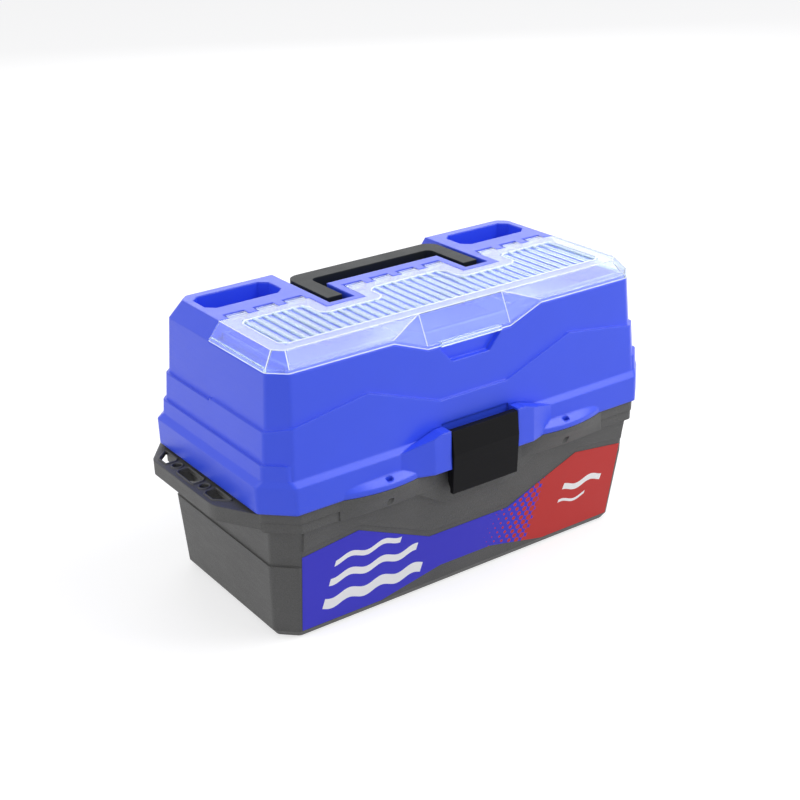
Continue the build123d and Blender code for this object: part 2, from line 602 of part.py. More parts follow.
def cover_pin(group, fit=0):
    """Pin through one group of cover knuckles, or with a fit the bore that holds it."""
    reach = KNUCKLE_W / 2 + COVER_PIN_END
    return rod(group[0] - reach, group[-1] + reach, COVER_AXIS_Y, COVER_AXIS_Z, COVER_PIN_R + fit)


def ear():
    """Right-hand ear of the flange beside the latch, which holds the latch pin."""
    x0, x1 = BAY_X, BAY_X + EAR_L
    root, top = -FY + LID_WALL, SEAM_Z + EAR_H
    plan = [(x0, root), (x0, EAR_Y), (x0 + EAR_FLAT, EAR_Y), (x1, -FY + FADE), (x1, root)]
    front = [(x0, LID_Z), (x0, top), (x0 + EAR_FLAT / 2, top), (x1, SEAM_Z + EAR_FADE_H), (x1, LID_Z)]
    return prism_xy(plan, LID_Z, top) & prism_xz(front, EAR_Y - OVER, 0)


def lid_shell():
    """Moulded lid with the organiser well, side pockets, handle recess, ears, lugs and finger recess."""
    form = lid_form()
    lid = form - lid_cavity()
    # tubs that hang from the top: pockets, handle recess and slots
    tubs = [prism_xy(pocket_outline(LID_WALL), TOP_Z - POCKET_DEPTH - WELL_FLOOR, TOP_Z)]
    tubs.append(mirror(tubs[0], Plane.YZ))
    tubs.append(prism_xy(grip_outline(LID_WALL), GRIP_Z - WELL_FLOOR, TOP_Z))
    lid += [form & t for t in tubs]
    # the clear cover takes the place of the top in front of its hinge line
    ledge = block(-FX, FX, -FY, REAR_ZONE, SHOULDER_Z - COVER_GAP, TOP_Z + OVER)
    lid -= ledge
    lid += prism_xy(well_outline(WELL_FLOOR), CEILING, TOP_Z - WELL_RIM)
    lid -= dip_room()
    lid += both_ends(collar(0, GRIP_Z - WELL_FLOOR, TOP_Z))
    lid -= prism_xy(well_outline(0), WELL_Z, TOP_Z)
    pocket = prism_xy(pocket_outline(0), TOP_Z - POCKET_DEPTH, TOP_Z + OVER)
    lid -= both_ends(pocket) + [prism_xy(grip_outline(0), GRIP_Z, TOP_Z + OVER)]
    # finger recess under the cover's tab
    top_z = SHOULDER_Z - DIP - COVER_GAP
    face_y = -grow(lid_at(top_z), STEP)[1]
    sill, low = top_z - FINGER_SILL, top_z - FINGER_H
    finger = symmetric([(FINGER_X0, top_z + OVER), (FINGER_X0, sill), (FINGER_X1, low)])
    back = symmetric([(FINGER_X0 + LID_WALL, top_z), (FINGER_X1 + LID_WALL, low - LID_WALL)])
    lid += form & prism_xz(back, face_y, -SHOULDER[1] + FINGER_DEPTH + LID_WALL)
    lid -= prism_xz(finger, face_y - OVER, -SHOULDER[1] + FINGER_DEPTH)
    # latch bay, ears with the pin's bore, lugs
    bay_y = -lid_at(FLANGE_TOP)[1] - STEP + LATCH_BAY_IN
    lid += block(-BAY_X - LID_WALL, BAY_X + LID_WALL, bay_y, bay_y + LID_WALL, LID_Z, FLANGE_TOP)
    lid += both_ends(ear()) + both_ends(lug(LID_Z + LUG_H, LID_Z + LUG_T, LID_Z))
    lid -= block(-BAY_X, BAY_X, EAR_Y - OVER, bay_y, LID_Z - OVER, SEAM_Z + EAR_H + OVER)
    lid -= latch_pin(PIN_FIT)
    lid -= both_ends(lug_hole())
    # ribs that carry the guide plates
    y0, y1, z0, z1 = cam_bounds()
    for y in (y0, y1 - CAM_RIB_T):
        rib = form & block(CAM_X1, FX, y, y + CAM_RIB_T, z0, z1)
        lid += both_ends(rib)
    # slots and bores for the cover's knuckles, bores for the handle
    for group in knuckle_places():
        for x in group:
            half = KNUCKLE_W / 2 + KNUCKLE_GAP
            room = KNUCKLE_R + KNUCKLE_ROOM
            lid -= block(x - half, x + half, REAR_ZONE - OVER, COVER_AXIS_Y + room,
                         COVER_AXIS_Z - room, TOP_Z + OVER)
        lid -= cover_pin(group, PIN_FIT)
    lid -= both_ends(handle_pin(PIN_FIT))
    # rear hinge knuckles
    lid += hinge_knuckles(1)
    return lid - hinge_bores()


def organiser_dividers():
    """Cross walls that stand in the front of the organiser well."""
    rear = SLOT_Y - COLLAR - LID_WALL
    pitch = 2 * WELL_X / WELL_CELLS
    walls = []
    for i in range(1, WELL_CELLS):
        x = -WELL_X + i * pitch
        x0, x1 = x - DIVIDER_T / 2, x + DIVIDER_T / 2
        walls.append(block(x0, x1, WELL_Y + DIVIDER_FIT, rear, WELL_Z, TOP_Z - WELL_RIM - WELL_WALL_DROP))
    return walls


# Clear cover

def cover_form():
    """Outside of the cover: a small upright lip and the bevel above it."""
    low = SHOULDER_Z + COVER_LIP
    lip = tier(SHOULDER_Z, SHOULDER, low, SHOULDER, PLAN_R)
    return lip + tier(low, grow(SHOULDER, -COVER_LEDGE), TOP_Z, TOP, PLAN_R)


def cover_inside():
    """Space under the cover."""
    low = SHOULDER_Z + COVER_LIP
    foot = grow(SHOULDER, -COVER_LEDGE - COVER_T)
    return tier(SHOULDER_Z - OVER, foot, low, foot) + tier(low, foot, TOP_Z - COVER_T, grow(TOP, -COVER_T))


def dip_loft(section):
    """Solid of the cover's front dip: its section runs from the plain bevel to the low middle and back."""
    sides = [section(True), section(False)]
    faces = []
    for x, pts in zip((-DIP_X1, -DIP_X0, DIP_X0, DIP_X1), (sides[0], sides[1], sides[1], sides[0])):
        faces.append(Plane.YZ.offset(x) * Polygon(*pts, align=None))
    return loft(faces, ruled=True)


def dip_skin(plain, inset):
    """Front of the dip as Y and Z from the top edge down: the plain bevel, or the steep middle facet."""
    top_y, foot_y = inset - TOP[1], inset + COVER_LEDGE - SHOULDER[1]
    top_z, foot_z = TOP_Z - inset, SHOULDER_Z + COVER_LIP
    crease = DIP_CREASE / BEVEL_H
    if plain:
        near = (foot_y + (top_y - foot_y) * crease, foot_z + (top_z - foot_z) * crease)
    else:
        foot_z -= DIP
        near = (top_y + (foot_y - top_y) * crease, top_z + (foot_z - top_z) * crease)
    return [(top_y, top_z), near, (foot_y, foot_z)]


def dip_shell(plain):
    """Section of the dip's outside, closed behind."""
    skin, back = dip_skin(plain, 0), BEVEL_Y / 4 - TOP[1]
    low = skin[-1][1] - COVER_LIP
    return skin + [(-SHOULDER[1], skin[-1][1]), (-SHOULDER[1], low), (back, low), (back, TOP_Z)]


def dip_hollow(plain):
    """Section of the space behind the dip."""
    skin, back = dip_skin(plain, COVER_T), BEVEL_Y / 2 - TOP[1]
    low = skin[-1][1] - COVER_LIP - OVER
    return skin + [(skin[-1][0], low), (back, low), (back, skin[0][1])]


def dip_room():
    """Room that the lid leaves for the cover's dip."""
    def section(plain):
        skin = [(y + COVER_GAP, z - COVER_GAP) for y, z in dip_skin(plain, COVER_T)]
        low = skin[-1][1] - COVER_LIP
        return skin + [(skin[-1][0], low), (-FY, low), (-FY, TOP_Z), (skin[0][0], TOP_Z)]
    return dip_loft(section)


def clear_cover():
    """Transparent cover: bevelled shell with a ribbed panel, dipped front, finger tab and knuckles."""
    cover = cover_form() - cover_inside()
    cover -= block(-FX, FX, COVER_REAR, FY, 0, TOP_Z + OVER)
    front, back = -SHOULDER[1], BEVEL_Y / 4 - TOP[1]
    cover -= block(-DIP_X1, DIP_X1, -FY, back, 0, TOP_Z + OVER)
    cover += dip_loft(dip_shell)
    cover -= dip_loft(dip_hollow)
    tab_z = SHOULDER_Z - DIP
    for z in (tab_z, tab_z + 2 * TAB_RIDGE):
        cover += block(-TAB_L / 2, TAB_L / 2, front - TAB_OUT, front + COVER_T / 2, z, z + TAB_RIDGE)
    # ribbed panel: a shallow pocket with bars left standing, kept clear of the notches
    panel = cover_panel()
    ribs = []
    pitch = 2 * (TOP[0] - PANEL_IN) / RIB_COUNT
    for i in range(RIB_COUNT):
        x = (i - (RIB_COUNT - 1) / 2) * pitch
        ribs.append(block(x - RIB_W / 2, x + RIB_W / 2, -FY, FY, 0, TOP_Z))
    cover -= panel - ribs
    cover -= both_ends(collar(COVER_GAP, 0, TOP_Z + OVER))
    # knuckles on their tongues
    for group in knuckle_places():
        for x in group:
            x0, x1 = x - KNUCKLE_W / 2, x + KNUCKLE_W / 2
            cover += rod(x0, x1, COVER_AXIS_Y, COVER_AXIS_Z, KNUCKLE_R)
            cover += block(x0, x1, COVER_REAR - OVER, COVER_AXIS_Y, TOP_Z - COVER_T, TOP_Z)
        cover -= cover_pin(group, PIN_FIT)
    return cover


def cover_panel():
    """Sunk panel in the cover's top, following its outline and the notches."""
    x2, y0 = TOP[0] - PANEL_IN, -TOP[1] + PANEL_IN
    rear = COVER_REAR - PANEL_IN
    step = SLOT_Y - COLLAR - PANEL_IN
    x1, x0 = SLOT_X1 + COLLAR + PANEL_IN, SLOT_X0 - COLLAR - PANEL_IN
    c = PANEL_IN / 2
    end = [(x2 - c, y0), (x2, y0 + c), (x2, rear - c), (x2 - c, rear)]
    notch = [(x1 + c, rear), (x1, rear - c), (x1, step + c), (x1 - c, step)]
    notch += [(x0 + c, step), (x0, step + c), (x0, rear - c), (x0 - c, rear)]
    return prism_xy(symmetric(end + notch), TOP_Z - PANEL_DEPTH, TOP_Z + OVER)


# Latch

def front_latch():
    """Black latch: bent face, a barrel on the pin and a nib that sits under the catch."""
    top, low = LATCH_PIN_Z + LATCH_TOP, LATCH_PIN_Z + LATCH_TOP - LATCH_H
    kink = LATCH_PIN_Z - LATCH_PIN_H / 2
    catch_y = -RIM[1] - CATCH_OUT - LATCH_CLEAR
    half, t = LATCH_W / 2, LATCH_T
    y_top, y_low = LATCH_Y + LATCH_LEAN_TOP, LATCH_Y + LATCH_LEAN_LOW
    outer = [(LATCH_PIN_Y, top), (y_top, top), (LATCH_Y, kink), (y_low, low)]
    inner = [(y_low + t, low), (LATCH_Y + t, kink), (y_top + t, top - t), (LATCH_PIN_Y, top - t)]
    face = prism_yz(outer + inner, -half, half)
    barrel = rod(-half, half, LATCH_PIN_Y, LATCH_PIN_Z, LATCH_BOSS_R)
    web = block(-half, half, LATCH_Y + t / 2, LATCH_PIN_Y, LATCH_PIN_Z - t / 2, LATCH_PIN_Z + t / 2)
    nib_top, nib_y = RIM_Z - LATCH_CLEAR, LATCH_Y + t
    nib_low, ease = nib_top - LATCH_NIB, LATCH_NIB_EASE
    nib_edge = [(nib_y, nib_top), (catch_y, nib_top - ease), (catch_y, nib_low + ease), (nib_y, nib_low)]
    nib = prism_yz(nib_edge, -CATCH_L / 2, CATCH_L / 2)
    # side cheeks, as deep as the nib and cut back at the lower corner
    c = CHEEK_C
    rear = [(catch_y - c / 2, low), (catch_y, low + c), (catch_y, LATCH_PIN_Z)]
    cheeks = both_ends(prism_yz(outer + rear, half - CHEEK_T, half))
    return face + [barrel, web, nib] + cheeks - latch_pin(PIN_FIT)


def latch_pin(fit=0):
    """Pin from ear to ear, or with a fit the bore that holds it."""
    end = BAY_X + EAR_FLAT / 2
    return rod(-end, end, LATCH_PIN_Y, LATCH_PIN_Z, LATCH_PIN_R + fit)


# Carry handle

def handle_axis():
    """Y and Z of the handle's axis."""
    return COVER_AXIS_Y - HANDLE_PIN_Y, TOP_Z - HANDLE_PIN_DROP


def handle_pin(fit=0):
    """Right-hand handle pin across its slot, or with a fit the bore that holds it."""
    return rod(SLOT_X0 - COLLAR / 2, SLOT_X1 + COLLAR / 2, *handle_axis(), HANDLE_PIN_R + fit)


def carry_handle():
    """U-shaped handle folded back into its recess."""
    y, z = handle_axis()
    x1 = SLOT_X1 - HANDLE_SIDE_GAP
    x0 = x1 - HANDLE_ARM_W
    end = y + HANDLE_REACH
    z0, z1 = TOP_Z - HANDLE_T, TOP_Z
    outer = RectangleRounded(2 * x1, 2 * HANDLE_REACH, HANDLE_CORNER)
    inner = RectangleRounded(2 * x0, 2 * (HANDLE_REACH - HANDLE_GRIP_W), HANDLE_CORNER / 2)
    bow = extrude(Plane.XY.offset(z0) * (Pos(0, y) * (outer - inner)), HANDLE_T)
    bow &= block(-FX, FX, y, FY, z0, z1)
    under = bow.faces().sort_by(Axis.Z)[0]
    bow = fillet([e for e in under.edges() if e.center().Y > y + HANDLE_PIN_R], HANDLE_ROUND)
    eye_r = min(z1 - z, z - z0)
    eyes = both_ends(rod(x0, x1, y, z, eye_r))
    return bow + eyes - both_ends(handle_pin(PIN_FIT))


# Trays, arms and guide plates

def pivots(which, i):
    """Y and Z of the pivot of tray i on the front or rear arm, closed."""
    return ARM_Y[which] - ARM_REACH[i] * math.cos(ARM_TILT), ARM_Z + ARM_REACH[i] * math.sin(ARM_TILT)


def tray(i):
    """Open tray i with a middle wall and pivot holes in its end walls."""
    z0 = TRAY_Z + i * TRAY_PITCH
    w = TRAY_WALL
    body = block(-TRAY_X, TRAY_X, TRAY_Y0, TRAY_Y1, z0, z0 + TRAY_H)
    row = TRAY_Y0 + w + TRAY_ROW
    body -= block(-TRAY_X + w, TRAY_X - w, TRAY_Y0 + w, row, z0 + w, z0 + TRAY_H + OVER)
    body -= block(-TRAY_X + w, TRAY_X - w, row + w, TRAY_Y1 - w, z0 + w, z0 + TRAY_H + OVER)
    body -= block(-TRAY_X + w, TRAY_X - w, row, row + w, z0 + TRAY_H - TRAY_MID_DROP, z0 + TRAY_H + OVER)
    return body - [rod(-FX, FX, *pivots(which, i), ARM_PIN_R + PIN_FIT) for which in ARM_Y]


def divider_places(i):
    """X of each divider in the front row of tray i."""
    span = 2 * (TRAY_X - TRAY_WALL)
    return [-span / 2 + k * span / TRAY_CELLS[i] for k in range(1, TRAY_CELLS[i])]


def tray_dividers(i):
    """Loose cross walls in the front row of tray i, with flat ends that press on the tray's walls."""
    z0 = TRAY_Z + i * TRAY_PITCH + TRAY_WALL
    y0 = TRAY_Y0 + TRAY_WALL + DIVIDER_FIT
    y1 = TRAY_Y0 + TRAY_WALL + TRAY_ROW - DIVIDER_FIT
    top = TRAY_Z + i * TRAY_PITCH + TRAY_H - TRAY_MID_DROP
    half, foot = DIVIDER_T / 2, DIVIDER_FOOT_W / 2
    dividers = []
    for x in divider_places(i):
        ends = [(y0, y0 + DIVIDER_FOOT_T), (y1 - DIVIDER_FOOT_T, y1)]
        web = block(x - half, x + half, y0, y1, z0, top)
        dividers.append(web + [block(x - foot, x + foot, *ys, z0, top) for ys in ends])
    return dividers


def tray_pins(i):
    """Rivets of tray i at both ends. The top tray's rear rivets reach on into the guide plates."""
    rivets = []
    for which in ARM_Y:
        y, z = pivots(which, i)
        guide = which == "rear" and i == TRAY_COUNT - 1
        end = CAM_X1 if guide else ARM_X1 + ARM_HEAD_T
        rivet = rod(TRAY_X - TRAY_WALL, end, y, z, ARM_PIN_R)
        rivet += rod(ARM_X1, ARM_X1 + ARM_HEAD_T, y, z, ARM_HEAD_R)
        rivets += both_ends(rivet)
    return rivets


def arm(which):
    """Flat arm at the right-hand end, from the base pivot past the three tray pivots."""
    length = ARM_REACH[-1]
    bar = Pos(length / 2, 0) * SlotCenterToCenter(length, ARM_W)
    for r in [0] + ARM_REACH:
        bar -= Pos(r, 0) * Circle(ARM_PIN_R + PIN_FIT)
    along = (0, -math.cos(ARM_TILT), math.sin(ARM_TILT))
    place = Plane(origin=(ARM_X0, ARM_Y[which], ARM_Z), x_dir=along, z_dir=(1, 0, 0))
    return extrude(place * bar, ARM_T)


def base_pins():
    """Pins of the arms in the base's bosses, flush with the arms' inner faces."""
    pins = []
    for y in ARM_Y.values():
        pins += both_ends(rod(ARM_X0, wall_at(ARM_Z)[0] - BASE_WALL, y, ARM_Z, ARM_PIN_R))
    return pins


def guide_path():
    """Path of the guide pin in the lid, as Y and Z, while the lid opens and the arms follow."""
    path = []
    for k in range(GUIDE_STEPS + 1):
        lid = math.radians(LID_TRAVEL * k / GUIDE_STEPS)
        a = ARM_TILT + ARM_RATIO * lid
        dy = ARM_Y["rear"] - ARM_REACH[-1] * math.cos(a) - HINGE_Y
        dz = ARM_Z + ARM_REACH[-1] * math.sin(a) - HINGE_Z
        c, s = math.cos(lid), math.sin(lid)
        path.append((HINGE_Y + dy * c - dz * s, HINGE_Z + dy * s + dz * c))
    return path


def cam_bounds():
    """Y and Z limits of a guide plate."""
    half = ARM_PIN_R + CAM_PLAY + CAM_EDGE
    ys, zs = zip(*guide_path())
    return min(ys) - half, max(ys) + half, min(zs) - half, max(zs) + half


def cam_plate():
    """Right-hand guide plate in the lid, with the curved slot that lifts the trays."""
    y0, y1, z0, z1 = cam_bounds()
    path = guide_path()
    half = ARM_PIN_R + CAM_PLAY
    sides = ([], [])
    for k, (y, z) in enumerate(path):
        (ya, za), (yb, zb) = path[max(k - 1, 0)], path[min(k + 1, len(path) - 1)]
        n = math.hypot(yb - ya, zb - za)
        for side, s in zip(sides, (half, -half)):
            side.append((y - s * (zb - za) / n, z + s * (yb - ya) / n))
    slot = Polygon(*(sides[0] + sides[1][::-1]), align=None)
    for y, z in (path[0], path[-1]):
        slot += Pos(y, z) * Circle(half)
    plate = Pos((y0 + y1) / 2, (z0 + z1) / 2) * RectangleRounded(y1 - y0, z1 - z0, CAM_EDGE) - slot
    return extrude(Plane.YZ.offset(CAM_X0) * plate, CAM_T)


def save(name, shape):
    """Write one piece as STEP, as a compound where it has several solids."""
    solids = []
    for s in shape if isinstance(shape, list) else [shape]:
        solids += s.solids()
    piece = solids[0] if len(solids) == 1 else Compound(children=solids)
    piece.label = name
    export_step(piece, f"parts/{name}.step")


def main():
    os.makedirs("parts", exist_ok=True)
    save("base_tub", base_tub())
    save("front_label", front_label())
    save("lid_shell", lid_shell())
    save("organiser_dividers", organiser_dividers())
    save("clear_cover", clear_cover())
    save("front_latch", front_latch())
    save("latch_pin", latch_pin())
    save("carry_handle", carry_handle())
    save("arm_base_pins", base_pins())
    for side, flip in (("right", False), ("left", True)):
        pieces = {
            "hinge_pin": hinge_pin(),
            "handle_pin": handle_pin(),
            "front_arm": arm("front"),
            "rear_arm": arm("rear"),
            "guide_plate": cam_plate(),
        }
        for name, shape in pieces.items():
            save(f"{name}_{side}", mirror(shape, Plane.YZ) if flip else shape)
    for name, group in zip(("left", "middle", "right"), knuckle_places()):
        save(f"cover_pin_{name}", cover_pin(group))
    for i, name in enumerate(("lower", "middle", "upper")):
        save(f"tray_{name}", tray(i))
        save(f"tray_{name}_dividers", tray_dividers(i))
        save(f"tray_{name}_pins", tray_pins(i))


main()
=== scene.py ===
import math

import bpy
from bpy.props import FloatProperty, FloatVectorProperty, PointerProperty
from mathutils import Matrix, Vector


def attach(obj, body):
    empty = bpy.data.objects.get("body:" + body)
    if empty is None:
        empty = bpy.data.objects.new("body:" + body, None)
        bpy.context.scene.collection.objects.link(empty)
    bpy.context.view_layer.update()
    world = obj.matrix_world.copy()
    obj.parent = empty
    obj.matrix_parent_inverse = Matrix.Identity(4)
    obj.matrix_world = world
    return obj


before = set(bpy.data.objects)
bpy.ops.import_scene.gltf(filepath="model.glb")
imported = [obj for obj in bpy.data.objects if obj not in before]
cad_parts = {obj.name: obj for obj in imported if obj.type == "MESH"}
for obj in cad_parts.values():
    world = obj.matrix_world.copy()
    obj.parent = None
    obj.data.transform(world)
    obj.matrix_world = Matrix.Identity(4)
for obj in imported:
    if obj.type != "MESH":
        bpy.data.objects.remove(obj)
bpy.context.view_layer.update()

bl_info = {
    "name": "Tackle box finishes",
    "version": (1, 0, 0),
    "blender": (4, 5, 0),
    "location": "View3D > Sidebar > Tackle box",
    "description": "Dresses a three-tray tackle box: plastics, clear cover, label, beads and studio",
    "category": "Object",
}

# The box's own sizes that the added pieces follow, in metres
TOP_Z = 0.244  # top face of the lid and of the cover
TOP_X, TOP_Y = 0.165, 0.083  # reach of the cover's top to the ends and to the front
TOP_C = 0.0075  # corner chamfer of the cover's top
COVER_REAR = 0.0024  # rear edge of the cover
LIP_Z, LIP_H = 0.230, 0.0028  # foot and height of the cover's lip
LIP_X, LIP_Y = 0.175, 0.0945  # reach of the lip to the ends and to the front
LIP_C = 0.013  # corner chamfer of the lip
BEVEL_IN = 0.001  # foot of the cover's bevel, inside the lip
DIP_X0, DIP_X1 = 0.040, 0.071  # half-widths of the dip in the lip's front, at its foot and at its top
DIP = 0.0122  # depth of that dip
TAB_X, TAB_Y = 0.029, 0.0971  # half-length and reach of the ridges on the finger tab
TAB_RIDGE = 0.0014  # height of one ridge and of the gap between the two
PANEL_IN = 0.011  # border of the ribbed panel
RIB_COUNT = 36
RIB_W = 0.0034
SLOT_X0, SLOT_X1 = 0.055, 0.078  # slots for the handle's arms, across
SLOT_Y = -0.017  # front wall of these slots
COLLAR = 0.0065  # border round these slots
RACK_TOP = 0.1184  # top of the tool racks
RACK_X0, RACK_X1 = 0.1905, 0.2025  # slots of the racks, across
RACK_SLOTS = ((0.0455, 0.070), (-0.001, 0.0285), (-0.046, -0.018))  # front and rear end of each
RACK_SLOT_C = 0.003  # corner chamfer of these slots
RACK_HOLES = (0.037, -0.0095)  # middles of the round holes
RACK_HOLE_R = 0.0046
RACK_HOLE_SIDES = 20

# Corner roundings of the beads, in metres
RACK_BEAD_CORNER = 0.0015
COVER_BEAD_CORNER = 0.004

# Print of the label, in metres
RED_TOP = (0.078, 0.068)  # slanted edge of the red panel, as x and z
RED_FOOT = (0.067, 0.015)
DOT_PITCH = 0.0062
DOT_TURN = math.radians(28.0)
DOT_FADE = 0.055  # reach of the dots from the panel's edge
DOT_R = 0.0031  # radius of the largest dots
WAVE_SWING, WAVE_LENGTH = 0.0022, 0.031
WAVE_LEAN = 0.25  # slant of the bands' ends, as x over z
WAVE_BANDS = (  # height of the middle, width, start and end along x
    (0.064, 0.0050, -0.146, -0.084),
    (0.047, 0.0068, -0.146, -0.064),
    (0.026, 0.0100, -0.146, -0.052),
    (0.052, 0.0060, 0.088, 0.132),
    (0.038, 0.0028, 0.088, 0.118),
)

# Optics and relief of the plastics, the depths in metres
MOULDED_IOR, CLEAR_IOR = 1.49, 1.46
# the lower shares of clear of the rib crowns and of the edge beads make them milky white: painted sheen
# and painted highlight
CLEAR_COVER, CLEAR_RIB_SHEEN, CLEAR_EDGE_HIGHLIGHTS, CLEAR_DIVIDERS = 0.90, 0.75, 0.25, 0.94  # shares of clear
GRAIN_DEPTH = 0.0004
RIPPLE, RIPPLE_DEPTH = 0.12, 0.0006  # strength and depth of the clear plastic's flow ripples
PAPER, PAPER_DEPTH, PAPER_ROUND = 0.04, 0.0002, 0.0002  # the same of the label, and its edges' radius
LABEL_GLEAM = 0.25

# Studio, in metres: place and size of each soft box
SOFT_BOXES = {
    "key": ((1.18, -0.91, 1.77), 1.15),
    "front": ((1.2, -1.72, 0.85), 1.6),
    "left": ((-1.9, 0.15, 1.1), 2.0),
    "back": ((1.1, 1.7, 1.25), 1.8),
}
LIT_POINT = (0.0, 0.0, 0.14)
FLOOR_HALF = 12.0
FLOOR_GREY = (0.55, 0.55, 0.56, 1.0)
FLOOR_GLOW = 0.58  # lifts the lit floor to white where it is seen
WHITE = (1.0, 1.0, 1.0, 1.0)

# Camera, in metres, degrees and millimetres
CAMERA_PLACE = (-0.6276, -0.9276, 0.6185)
CAMERA_AZIMUTH, CAMERA_DOWN, CAMERA_ROLL = 33.9, 23.4, -2.3
CAMERA_LENS, CAMERA_SENSOR = 64.9, 36.0


def colour_property(name, description, default):
    """Colour that a user may change."""
    return FloatVectorProperty(
        name=name, description=description, subtype="COLOR", size=3, min=0.0, max=1.0, default=default)


def length_property(name, description, default):
    """Small length that a user may change."""
    return FloatProperty(name=name, description=description, unit="LENGTH", default=default, min=0.0)


def power_property(name, description, default):
    """Power of a soft box that a user may change."""
    return FloatProperty(name=name, description=description, unit="POWER", default=default, min=0.0)


class BoxColours(bpy.types.PropertyGroup):
    """Colours of the box's plastics and of its label."""

    lid: colour_property("Lid", "Bright blue of the moulded lid", (0.035, 0.085, 0.83))
    base: colour_property("Base", "Dark grey of the tub", (0.069, 0.069, 0.068))
    latch: colour_property("Latch", "Black of the latch", (0.005, 0.005, 0.006))
    handle: colour_property("Handle", "Dark grey of the carry handle", (0.013, 0.016, 0.018))
    trays: colour_property("Trays", "Grey of the three trays", (0.18, 0.19, 0.20))
    arms: colour_property("Arms", "Dark grey of arms and guide plates", (0.045, 0.047, 0.050))
    dividers: colour_property("Dividers", "Milky white of the loose dividers", (0.62, 0.65, 0.68))
    cover: colour_property("Cover", "Tint of the clear cover", (0.84, 0.93, 1.0))
    # painted highlight: white of the beads that stand for the light along the cover's edges
    painted_edge_highlight: colour_property("Cover edge highlight", "White painted as a highlight on the cover's edges", (0.96, 0.98, 1.0))
    label_blue: colour_property("Label blue", "Field of the label", (0.038, 0.033, 0.60))
    label_red: colour_property("Label red", "Red panel and dots of the label", (0.55, 0.024, 0.021))
    label_white: colour_property("Label white", "Wave bands of the label", (0.95, 0.95, 0.96))


class BoxSizes(bpy.types.PropertyGroup):
    """Sizes of the fine detail."""

    rib_crown: length_property("Rib crown", "Height of the rounded crown on each cover rib", 0.0005)
    panel_bead: length_property("Panel bead", "Radius of the bead round the cover's ribbed panel", 0.0007)
    # painted highlight: the edge bead is white plastic laid where light catches the cover's edges
    edge_highlight_bead: length_property("Edge highlight bead", "Radius of the bead painted white as a highlight along the cover's edges", 0.0004)
    rack_bead: length_property("Rack bead", "Radius of the bead round each tool slot", 0.0009)
    edge_round: length_property("Edge rounding", "Radius that the light sees on moulded edges", 0.0012)
    lid_round: length_property("Lid rounding", "Radius that the light sees on the lid's edges", 0.0022)


class BoxStudio(bpy.types.PropertyGroup):
    """Light of the studio."""

    fill: FloatProperty(
        name="Fill", description="Strength of the even white light", default=0.56, min=0.0)
    key: power_property("Key", "Soft box above, to the right", 23.0)
    front: power_property("Front", "Soft box in front, to the right", 8.0)
    left: power_property("Left", "Soft box on the left", 15.0)
    back: power_property("Back", "Soft box behind the box", 11.0)


# Node helpers
MIX_A, MIX_B, MIX_RESULT = 6, 7, 2  # places of the colour sockets on a Mix node


def add(tree, kind, **settings):
    """New node with its settings."""
    node = tree.nodes.new(kind)
    for name, value in settings.items():
        setattr(node, name, value)
    return node


def feed(tree, socket, value):
    """Link a socket into an input, or set the input's value."""
    if isinstance(value, bpy.types.NodeSocket):
        tree.links.new(value, socket)
    else:
        socket.default_value = value


def calc(tree, operation, *values):
    """Math node on sockets and numbers."""
    node = add(tree, "ShaderNodeMath", operation=operation)
    for socket, value in zip(node.inputs, values):
        feed(tree, socket, value)
    return node.outputs[0]


def blend_colours(tree, factor, a, b):
    """Colour between a and b."""
    node = add(tree, "ShaderNodeMix", data_type="RGBA")
    feed(tree, node.inputs["Factor"], factor)
    for place, value in ((MIX_A, a), (MIX_B, b)):
        linked = isinstance(value, bpy.types.NodeSocket)
        feed(tree, node.inputs[place], value if linked else (*value, 1.0))
    return node.outputs[MIX_RESULT]


def remap(tree, value, low, high):
    """A 0..1 value stretched to low..high."""
    node = add(tree, "ShaderNodeMapRange")
    feed(tree, node.inputs["Value"], value)
    feed(tree, node.inputs["To Min"], low)
    feed(tree, node.inputs["To Max"], high)
    return node.outputs[0]


def noise(tree, vector, scale, detail=2.0):
    """Noise value at a place."""
    node = add(tree, "ShaderNodeTexNoise")
    feed(tree, node.inputs["Vector"], vector)
    feed(tree, node.inputs["Scale"], scale)
    feed(tree, node.inputs["Detail"], detail)
    return node.outputs["Fac"]


def shader_group(name, inputs, outputs):
    """Empty shader group with float sockets."""
    tree = bpy.data.node_groups.new(name, "ShaderNodeTree")
    for label in inputs:
        tree.interface.new_socket(label, in_out="INPUT", socket_type="NodeSocketFloat")
    for label in outputs:
        tree.interface.new_socket(label, in_out="OUTPUT", socket_type="NodeSocketFloat")
    return tree, add(tree, "NodeGroupInput"), add(tree, "NodeGroupOutput")


def place_group(tree, group, **values):
    """Group node with its values."""
    node = add(tree, "ShaderNodeGroup", node_tree=group)
    for name, value in values.items():
        feed(tree, node.inputs[name], value)
    return node


def moulded_grain():
    """Mould texture: fine grain as a height, cloudy flow as a tone, handling marks as a gloss."""
    group = bpy.data.node_groups.get("moulded grain")
    if group:
        return group
    tree, inside, outside = shader_group(
        "moulded grain", ("Grain", "Cloud", "Marks"), ("Height", "Tone", "Gloss"))
    place = add(tree, "ShaderNodeTexCoord").outputs["Object"]
    feed(tree, outside.inputs["Height"], noise(tree, place, inside.outputs["Grain"], 3.0))
    feed(tree, outside.inputs["Tone"], noise(tree, place, inside.outputs["Cloud"], 2.0))
    stretch = add(tree, "ShaderNodeMapping")
    feed(tree, stretch.inputs["Vector"], place)
    stretch.inputs["Scale"].default_value = (1.0, 1.0, 7.0)
    stretch.inputs["Rotation"].default_value = (0.35, 0.5, 0.2)
    marks = noise(tree, stretch.outputs[0], inside.outputs["Marks"], 4.0)
    feed(tree, outside.inputs["Gloss"], marks)
    return tree


